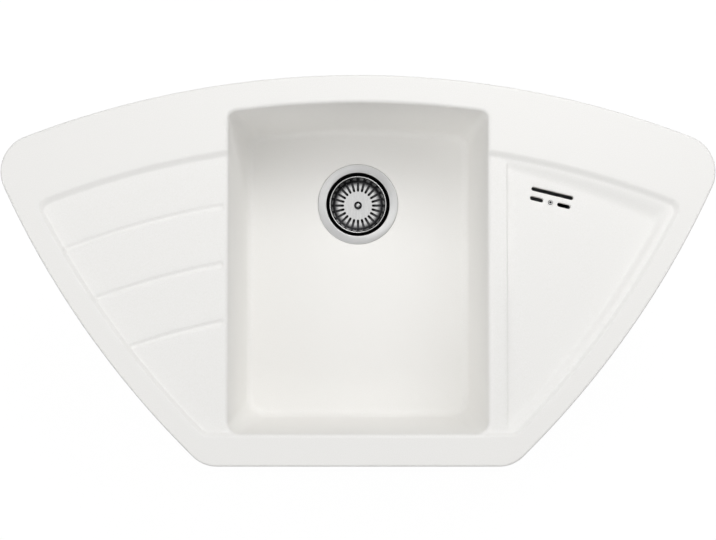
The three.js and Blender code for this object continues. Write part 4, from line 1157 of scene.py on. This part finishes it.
def stem():
    base, top = span("basket_stem")
    seal_top, sleeve_top = high("basket_seal")[2], BASKET_FLOOR - SHEET
    return turned("lifting_stem", [
        (0, base), (3, base, 0.6), (3, seal_top), (5, seal_top, 0.5), (5, sleeve_top - 2, 0.5),
        (4.4, sleeve_top, 0.3), (3, sleeve_top), (3, top, 0.4), (0, top)], 32, DRAIN)


def plug_seal():
    base, top = span("basket_seal")
    return turned("plug_seal", [
        (STEM_BORE, base), (19, base, 0.5), (21, base + 0.8, 0.6), (24, base, 0.5), (24, top - 1.4, 0.8),
        (20, top, 2), (7, top, 0.6), (5.6, top - 0.6), (STEM_BORE, top - 0.6)], 72, DRAIN)


def waste_screw():
    bottom, top = span("waste_screw")
    seat, radius = top - 3, 2.8
    body = turned("waste_bolt", [
        (0, bottom), (2.3, bottom), *shank(radius, bottom + 0.6, seat - 2, 1.0), (radius, seat),
        (6.5, seat, 0.4), (6.5, seat + 1.4, 0.8), (3.6, top, 1.5), (0, top)],
        36, DRAIN, thread(1.0, 0.5, radius, bottom + 1, seat - 2))
    return cut(body, bar((14, 1.6, 4), (*DRAIN, top + 0.2)))


def waste_nut():
    bottom, top = span("waste_nut")
    bore, chamfer, corner = 3.1, 5.0, 5.6

    def shape(radius, z, angles):
        return radius if radius < 4 else np.minimum(hexagon(corner, angles + 1e-9), radius)
    return turned("brass_nut", [
        (bore, bottom), (chamfer, bottom), (corner, bottom + 0.5), (corner, top - 0.5), (chamfer, top),
        (bore, top)], 72, DRAIN, shape)


SPIGOT = {"radius": 11.5, "bore": 9, "end": 61, "washer": 2}
SPIGOT_Z = middle("hose_bottom_washer")[2]
HOSE_WAY = middle("hose_top_washer")[:2] - DRAIN
HOSE_BEARING = bearing_of(HOSE_WAY)
HOSE_DISTANCE = np.linalg.norm(HOSE_WAY)


def along_hose(made):
    """Lays a piece made round Z along the level run of the hose, from the drain's axis outward."""
    lay = Matrix.Translation((0, 0, SPIGOT_Z * MM)) @ Matrix.Rotation(QUARTER, 4, "Y")
    return moved(made, turned_about(DRAIN, HOSE_BEARING) @ lay)


def waste_body():
    bottom, top = span("waste_body")
    cone_foot, cone_top = bottom + 20, bottom + 38
    pipe, chest, collar, flange = 23.8, 45, 49.3, 60
    body = turned("waste_housing", [
        (0, bottom), (pipe, bottom, 0.6), *[(pipe, z) for z in np.linspace(bottom + 2, bottom + 18, 81)],
        (pipe, cone_foot, 2), (chest, cone_top, 6), (chest, SPIGOT_Z + SPIGOT["radius"], 4),
        (collar, top - 13, 4), (collar, top - 5, 1), (flange, top - 5, 1.2), (flange, top, 0.8), (0, top)],
        96, DRAIN, thread(2.0, 0.5, pipe, bottom + 2, bottom + 18))
    joined(body, along_hose(rod(SPIGOT["radius"], 40, SPIGOT["end"])))
    gussets = 12
    for number in range(gussets):
        place = turned_about(DRAIN, TURN * (number + 0.5) / gussets)
        joined(body, moved(bar((9, 2, 7), (54.5, 0, top - 8)), place))
    outlet, bore, end = 18.5, 42, bottom - 1
    cut(body, turned("tool", [
        (0, end), (outlet, end), (outlet, cone_foot, 3), (bore, cone_top, 5),
        (bore, SPIGOT_Z + SPIGOT["bore"], 4), (DRAIN_HOLE, top - 11, 3), (DRAIN_HOLE, top + 1), (0, top + 1)],
        96, DRAIN))
    cut(body, along_hose(rod(SPIGOT["bore"], 34, SPIGOT["end"] + 1)))
    hub_bottom, hub_top = cone_top + 2, FLANGE_BOTTOM - 0.3
    joined(body, rod(9, hub_bottom, hub_top, 48, DRAIN))
    for bearing in (45, 135):
        rib = bar((86, 3, hub_top - 6 - hub_bottom), (0, 0, (hub_top - 6 + hub_bottom) / 2))
        joined(body, moved(rib, turned_about(DRAIN, math.radians(bearing))))
    cut(body, rod(SCREW_BORE, hub_bottom - 1, hub_top + 1, 32, DRAIN))
    return cut(body, rod(5.9, hub_bottom - 1, high("waste_nut")[2], 6, DRAIN))


def outlet_nut():
    bottom, top = span("outlet_nut")
    neck, bore, outer = 20.3, 24.1, 31
    shoulder = bottom + 3
    return turned("union_nut", [
        (neck, bottom), (28, bottom, 1), (outer, shoulder, 1), (outer, bottom + 4), (outer, top - 3.6),
        (outer, top - 2.6), (30.4, top, 0.8), (bore, top), (bore, shoulder), (neck, shoulder)],
        240, DRAIN, grips(30, 0.9, outer, bottom + 3.5, top - 3))


def tailpiece():
    bottom, top = span("tailpiece")
    return turned("tail_pipe", [
        (18, bottom), (19.2, bottom), (20, bottom + 1.2, 0.5), (20, top - 3, 1), (23.2, top - 3, 0.5),
        (23.2, top, 0.5), (18, top)], 96, DRAIN)


# ---------------------------------------------------------------- overflow
BOX = {"half": 36, "front": -9, "back": 19, "height": 28, "wall": 2.5, "rounding": 5, "edge": 4}
BOX_MIDDLE = (BOX["front"] + BOX["back"]) / 2
BOX_TOP = low("overflow_gasket")[2]
BOX_BOTTOM = BOX_TOP - BOX["height"]


def box_plan(margin):
    """The overflow chamber's plan, drawn in by a margin, in the chamber's own directions."""
    radius = max(BOX["rounding"] - margin, 0.6)
    x = BOX["half"] - margin - radius
    y = (BOX["back"] - BOX["front"]) / 2 - margin - radius
    return np.concatenate([
        [sx * x, BOX_MIDDLE + sy * y] + around((number - 1 + np.linspace(0, 1, 7)) * QUARTER, radius)
        for number, (sx, sy) in enumerate(((1, -1), (1, 1), (-1, 1), (-1, -1)))])


def to_overflow(made):
    return moved(made, turned_about(SCREW_IN_PLAN + [0, FRONT_Y], -OVERFLOW_BEARING))


def overflow_box():
    wall, edge, tool_top = BOX["wall"], BOX["edge"], BOX_TOP + 1
    tub = walled("overflow_chamber", [
        (box_plan(edge), BOX_BOTTOM), *rounded(lambda left: box_plan(-left), BOX_BOTTOM, -edge, 5),
        (box_plan(0), BOX_TOP - 3), (box_plan(0), BOX_TOP)])
    cut(tub, walled("tool", [(box_plan(wall + 2), BOX_BOTTOM + wall), (box_plan(wall), BOX_BOTTOM + wall + 2),
                             (box_plan(wall), tool_top)]))
    floor_middle = BOX_BOTTOM + wall / 2
    joined(tub, rod(4.5, floor_middle, BOX_TOP, 32))
    web_height = BOX_TOP - 4 - floor_middle
    joined(tub, bar((wall, 9, web_height), (0, -4.5, floor_middle + web_height / 2)))
    pipe_end, pipe_at = low("overflow_box")[2], (SHORT_SLOT_AT, BOX_MIDDLE)
    joined(tub, rod(SPIGOT["radius"], pipe_end, floor_middle, 48, pipe_at))
    cut(tub, rod(SPIGOT["bore"], pipe_end - 1, BOX_BOTTOM + wall + 1, 48, pipe_at))
    cut(tub, rod(2.3, low("overflow_screw")[2] - 2, tool_top, 24))
    return to_overflow(tub)


def frame_gasket():
    bottom, top = span("overflow_gasket")
    outer, inner = box_plan(0), box_plan(BOX["edge"])
    return to_overflow(walled("overflow_frame_gasket", [
        (outer, bottom), (outer, top), (inner, top), (inner, bottom)], closed=True))


def overflow_screw():
    bottom, top = span("overflow_screw")
    seat = float(top_height(SCREW_IN_PLAN[None])[0]) + 0.3
    threaded, socket = thread(0.8, 0.4, 2.0, bottom + 1.5, seat - 1), 1.7

    def shape(radius, z, angles):
        return hexagon(socket, angles) if radius == socket else threaded(radius, z, angles)
    return to_overflow(turned("overflow_fixing_screw", [
        (0, bottom), (1.0, bottom), *shank(2.0, bottom + 1.5, seat - 1, 0.8), (2.0, seat), (3.1, seat, 0.2),
        (3.1, seat + 0.7, 0.3), (2.3, top, 0.8), (1.75, top), (socket, top - 0.1), (socket, top - 2.2),
        (0, top - 2.2)], 48, (0, 0), shape))


# ---------------------------------------------------------------- overflow hose
HOSE = {"bore": 9, "root": 11, "crest": 12.5, "ribs": 60, "bend": 90}
HOSE_TOP = low("hose_top_washer")[2]
HOSE_FALL = HOSE_TOP - SPIGOT_Z - HOSE["bend"]
HOSE_TURN = HOSE["bend"] * QUARTER
HOSE_LENGTH = HOSE_FALL + HOSE_TURN + HOSE_DISTANCE - HOSE["bend"] - SPIGOT["end"] - SPIGOT["washer"]


def hose_ring(walked, radius):
    """A ring round the hose's centre line, which goes down, round a bend and level to the waste."""
    bend = HOSE["bend"]
    angle = min(max((walked - HOSE_FALL) / bend, 0), QUARTER)
    out = HOSE_DISTANCE - bend * (1 - math.cos(angle)) - max(walked - HOSE_FALL - HOSE_TURN, 0)
    z = HOSE_TOP - min(walked, HOSE_FALL) - bend * math.sin(angle)
    in_plane, square = circle(radius, 32).T
    out = out - in_plane * math.cos(angle)
    c, s = math.cos(HOSE_BEARING), math.sin(HOSE_BEARING)
    return np.stack([out * c - square * s, out * s + square * c, z + in_plane * math.sin(angle)], axis=1)


def overflow_hose():
    root, crest, per_rib = HOSE["root"], HOSE["crest"], 6
    cuff = 2 * crest
    ribbed, count = HOSE_LENGTH - 2 * cuff, HOSE["ribs"] * per_rib
    stops = [(0, root), (cuff - 3, root)]
    for k in range(count + 1):
        share = 0.5 - 0.5 * math.cos(TURN * k / per_rib)
        stops.append((cuff + ribbed * k / count, root + (crest - root) * share ** 0.7))
    stops += [(HOSE_LENGTH - cuff + 3, root), (HOSE_LENGTH, root)]
    stops += [(walked, HOSE["bore"]) for walked in np.linspace(HOSE_LENGTH, 0, 61)]
    shell = Shell()
    shell.skin([shell.loop(hose_ring(*stop)) for stop in stops], True)
    return shell.mesh("ribbed_hose", (*DRAIN, 0), 50)


def hose_nut(name, centre):
    bottom, top = centre - 12, centre + 12
    bore, outer = 11.8, 17
    return turned(name, [
        (bore, bottom), (15, bottom, 0.6), (outer, bottom + 3, 1), (outer, bottom + 4), (outer, top - 3),
        (outer, top - 2), (16, top, 0.6), (bore, top)],
        144, (0, 0), grips(18, 0.8, outer, bottom + 3.5, top - 2.5))


# ---------------------------------------------------------------- rim fixings
CLIP_SCREW_TOP = high("clip_1_screw")[2]
CLAW = {"below": 35, "reach": 40, "heel": 9, "heel_height": 5, "toe_height": 12, "width": 14, "sheet": 2.5,
        "edge": 0.35}
CLAW_PLANE = CLIP_SCREW_TOP - CLAW["below"]


def claw_mesh():
    """A pressed claw: an arm with a short heel and a taller toe, rounded at its bends."""
    out, heel, sheet, toe_height, heel_height = (
        CLAW[part] for part in ("reach", "heel", "sheet", "toe_height", "heel_height"))
    side = np.array(softened([
        (-heel, 0, 3), (out, 0, 3.4), (out, toe_height, 0.5), (out - sheet, toe_height, 0.5),
        (out - sheet, sheet, 1), (sheet - heel, sheet, 0.8), (sheet - heel, heel_height, 0.5),
        (-heel, heel_height, 0.5)], 5))
    way = np.roll(side, -1, axis=0) - np.roll(side, 1, axis=0)
    way /= np.linalg.norm(way, axis=1, keepdims=True)
    inward = np.stack([-way[:, 1], way[:, 0]], axis=1)
    half, edge = CLAW["width"] / 2, CLAW["edge"]
    shell = Shell()
    shell.skin([shell.loop((x, y, z + CLAW_PLANE) for x, z in side + inset * inward) for y, inset in (
        (-half, edge), (-half + edge, 0), (half - edge, 0), (half, edge))], False)
    return cut(shell.mesh("claw"), rod(2.8, CLAW_PLANE - 1, CLAW_PLANE + sheet + 1, 32))


def clip_screw_mesh():
    head, radius, last = CLAW_PLANE - 3.5, 2.5, CLIP_SCREW_TOP - 0.8
    made = turned("clamp_screw", [
        (0, head), (3.4, head, 0.8), (4.6, CLAW_PLANE - 2.2, 0.6), (4.6, CLAW_PLANE, 0.2),
        (radius, CLAW_PLANE), *shank(radius, CLAW_PLANE + 3, last, 1.0, 6), (1.9, CLIP_SCREW_TOP),
        (0, CLIP_SCREW_TOP)],
        20, (0, 0), thread(1.0, 0.45, radius, CLAW_PLANE + 3, last))
    return cut(made, bar((12, 1.2, 3.5), (0, 0, head)))


def insert_mesh():
    bottom, top = INSERT_BOTTOM, INSERT_TOP
    bore, outer = 2.8, 4.4
    return turned("insert", [
        (bore, bottom), (outer, bottom, 0.3), *[(outer, z) for z in np.linspace(bottom + 1, top - 1, 17)],
        (outer, top, 0.3), (bore, top)], 60, (0, 0), grips(20, 0.3, outer, bottom + 1.5, top - 1.5))


def clip_turn(number, at):
    """How far a rim fixing is turned: its claw's bearing, and a quarter turn to lie along the rim."""
    hand = math.copysign(1, at[0])
    if number in (1, 2):
        bearing = -QUARTER
    else:
        bearing = bearing_of(at - (REAR_CENTRE if number in (5, 6) else side_centre(hand)))
    return bearing + hand * QUARTER


def rim_fixings():
    models = {"insert": (insert_mesh(), BRASS), "screw": (clip_screw_mesh(), ZINC),
              "claw": (claw_mesh(), ZINC)}
    for number, at in zip(CLIPS, CLIP_PLACES):
        place = turned_about(at + [0, FRONT_Y], clip_turn(number, at))
        for kind, (model, finish) in models.items():
            made = placed(f"rim_fixing_{number}_{kind}", model.data.copy())
            fit(moved(made, place), finish, f"clip_{number}_{kind}")
    for model, _ in models.values():
        bpy.data.objects.remove(model)


def sealing_strip():
    bottom, top = span("rim_sealing_strip")
    return walled("foam_strip", [(rim.ring(inset), z) for inset, z in (
        (3.4, bottom), (3, bottom + 0.4), (3, top), (14, top), (14, bottom + 0.4), (13.6, bottom))],
        (0, FRONT_Y, 0), True)


HOSE_TOP_AT = middle("hose_top_washer")[:2]

fit(strainer_flange(), FLANGE_STEEL, "strainer_flange")
fit(basket(), BASKET_STEEL, "basket")
fit(knob(), KNOB_STEEL, "basket_knob")
fit(stem(), SCREW_STEEL, "basket_stem")
fit(plug_seal(), RUBBER, "basket_seal")
fit(waste_screw(), SCREW_STEEL, "waste_screw")
fit(waste_nut(), BRASS, "waste_nut")
fit(waste_body(), WHITE_PLASTIC, "waste_body")
fit(washer("flange_bedding", "flange_seal", DRAIN_HOLE, DRAIN), RUBBER, "flange_seal")
fit(washer("waste_ring", "waste_gasket", DRAIN_HOLE, DRAIN, 0.8), RUBBER, "waste_gasket")
fit(washer("outlet_ring", "outlet_seal", 18, DRAIN), RUBBER, "outlet_seal")
fit(outlet_nut(), WHITE_PLASTIC, "outlet_nut")
fit(tailpiece(), WHITE_PLASTIC, "tailpiece")
fit(overflow_box(), GREY_PLASTIC, "overflow_box")
fit(frame_gasket(), FOAM, "overflow_gasket")
fit(overflow_screw(), SOCKET_STEEL, "overflow_screw")
fit(overflow_hose(), GREY_PLASTIC, "overflow_hose")
fit(washer("hose_top_ring", "hose_top_washer", SPIGOT["bore"], HOSE_TOP_AT), RUBBER, "hose_top_washer")
bottom_ring = ring_profile(SPIGOT["bore"], 11, SPIGOT["end"], SPIGOT["end"] + SPIGOT["washer"])
fit(along_hose(turned("hose_bottom_ring", bottom_ring, 48)), RUBBER, "hose_bottom_washer")
top_nut = hose_nut("hose_nut_upper", HOSE_TOP + 1)
fit(moved(top_nut, turned_about(HOSE_TOP_AT, 0)), WHITE_PLASTIC, "hose_top_nut")
bottom_nut = hose_nut("hose_nut_lower", SPIGOT["end"] + 1)
fit(along_hose(bottom_nut), WHITE_PLASTIC, "hose_bottom_nut")
fit(sealing_strip(), FOAM, "rim_sealing_strip")
rim_fixings()

# ---------------------------------------------------------------- camera, floor and light
CAMERA = {"back": 170, "above": 2400, "target_back": 255, "lens": 92.9, "sensor": 36}
CAMERA_AT = (0, (CAMERA["back"] + FRONT_Y) * MM, (RIM_TOP + CAMERA["above"]) * MM)
CAMERA_TARGET = (0, (CAMERA["target_back"] + FRONT_Y) * MM, RIM_TOP * MM)
LAMP_TARGET = (0, 0.25, 0)
FLOOR_HALF, FLOOR_Z = 6.0, -0.332
GLOW = {"strength": 1.07, "share": 0.88}


def aimed(made, at, target):
    made.location = at
    made.rotation_euler = (Vector(target) - Vector(at)).to_track_quat("-Z", "Y").to_euler()


def camera():
    data = bpy.data.cameras.new("camera")
    made = placed("camera", data)
    aimed(made, CAMERA_AT, CAMERA_TARGET)
    data.lens, data.sensor_width = CAMERA["lens"], CAMERA["sensor"]
    bpy.context.scene.camera = made


def floor():
    """A pale floor that is white to the camera and in metal, and keeps a faint shadow."""
    data = bpy.data.meshes.new("floor")
    corners = [(x * FLOOR_HALF, y * FLOOR_HALF, FLOOR_Z) for x, y in ((-1, -1), (1, -1), (1, 1), (-1, 1))]
    data.from_pydata(corners, [], [(0, 1, 2, 3)])
    made = placed("floor", data)
    paint = Paint("pale_floor", 0.9)
    paint.feed(paint.shader, {"Base Color": rgb(236, 236, 236)})
    path = paint.node("LightPath")
    mirrored = paint.math("MAXIMUM", path["Is Glossy Ray"], path["Is Transmission Ray"])
    seen = paint.math("MAXIMUM", path["Is Camera Ray"], mirrored)
    glow = paint.node("Emission", {"Color": (1, 1, 1, 1), "Strength": GLOW["strength"]})[0]
    share = paint.math("MULTIPLY", seen, GLOW["share"])
    surface = paint.node("MixShader", {0: share, 1: paint.shader.outputs[0], 2: glow})[0]
    paint.feed(paint.tree.nodes["Material Output"], {"Surface": surface})
    data.materials.append(paint.material)


def lamp(name, at, size, power):
    data = bpy.data.lights.new(name, "AREA")
    data.shape = "RECTANGLE"
    data.size, data.size_y = size
    data.energy = power
    aimed(placed(name, data), at, LAMP_TARGET)


def world(strength):
    made = bpy.data.worlds.new("studio")
    bpy.context.scene.world = made
    made.use_nodes = True
    sky = made.node_tree.nodes["Background"]
    sky.inputs["Color"].default_value = (1, 1, 1, 1)
    sky.inputs["Strength"].default_value = strength


camera()
floor()
lamp("top_softbox", (-0.7, 0.5, 3.2), (2.6, 2.6), 12)
lamp("rear_softbox", (0.4, 1.35, 1.6), (1.4, 0.8), 15.5)
lamp("left_softbox", (-2.0, 0.3, 1.9), (1.6, 1.6), 12)
lamp("right_softbox", (2.0, 0.5, 1.9), (1.6, 1.6), 10)
lamp("front_softbox", (-0.5, -1.5, 2.0), (1.8, 1.2), 9)
world(0.25)

scene = bpy.context.scene
scene.view_settings.view_transform = "Standard"
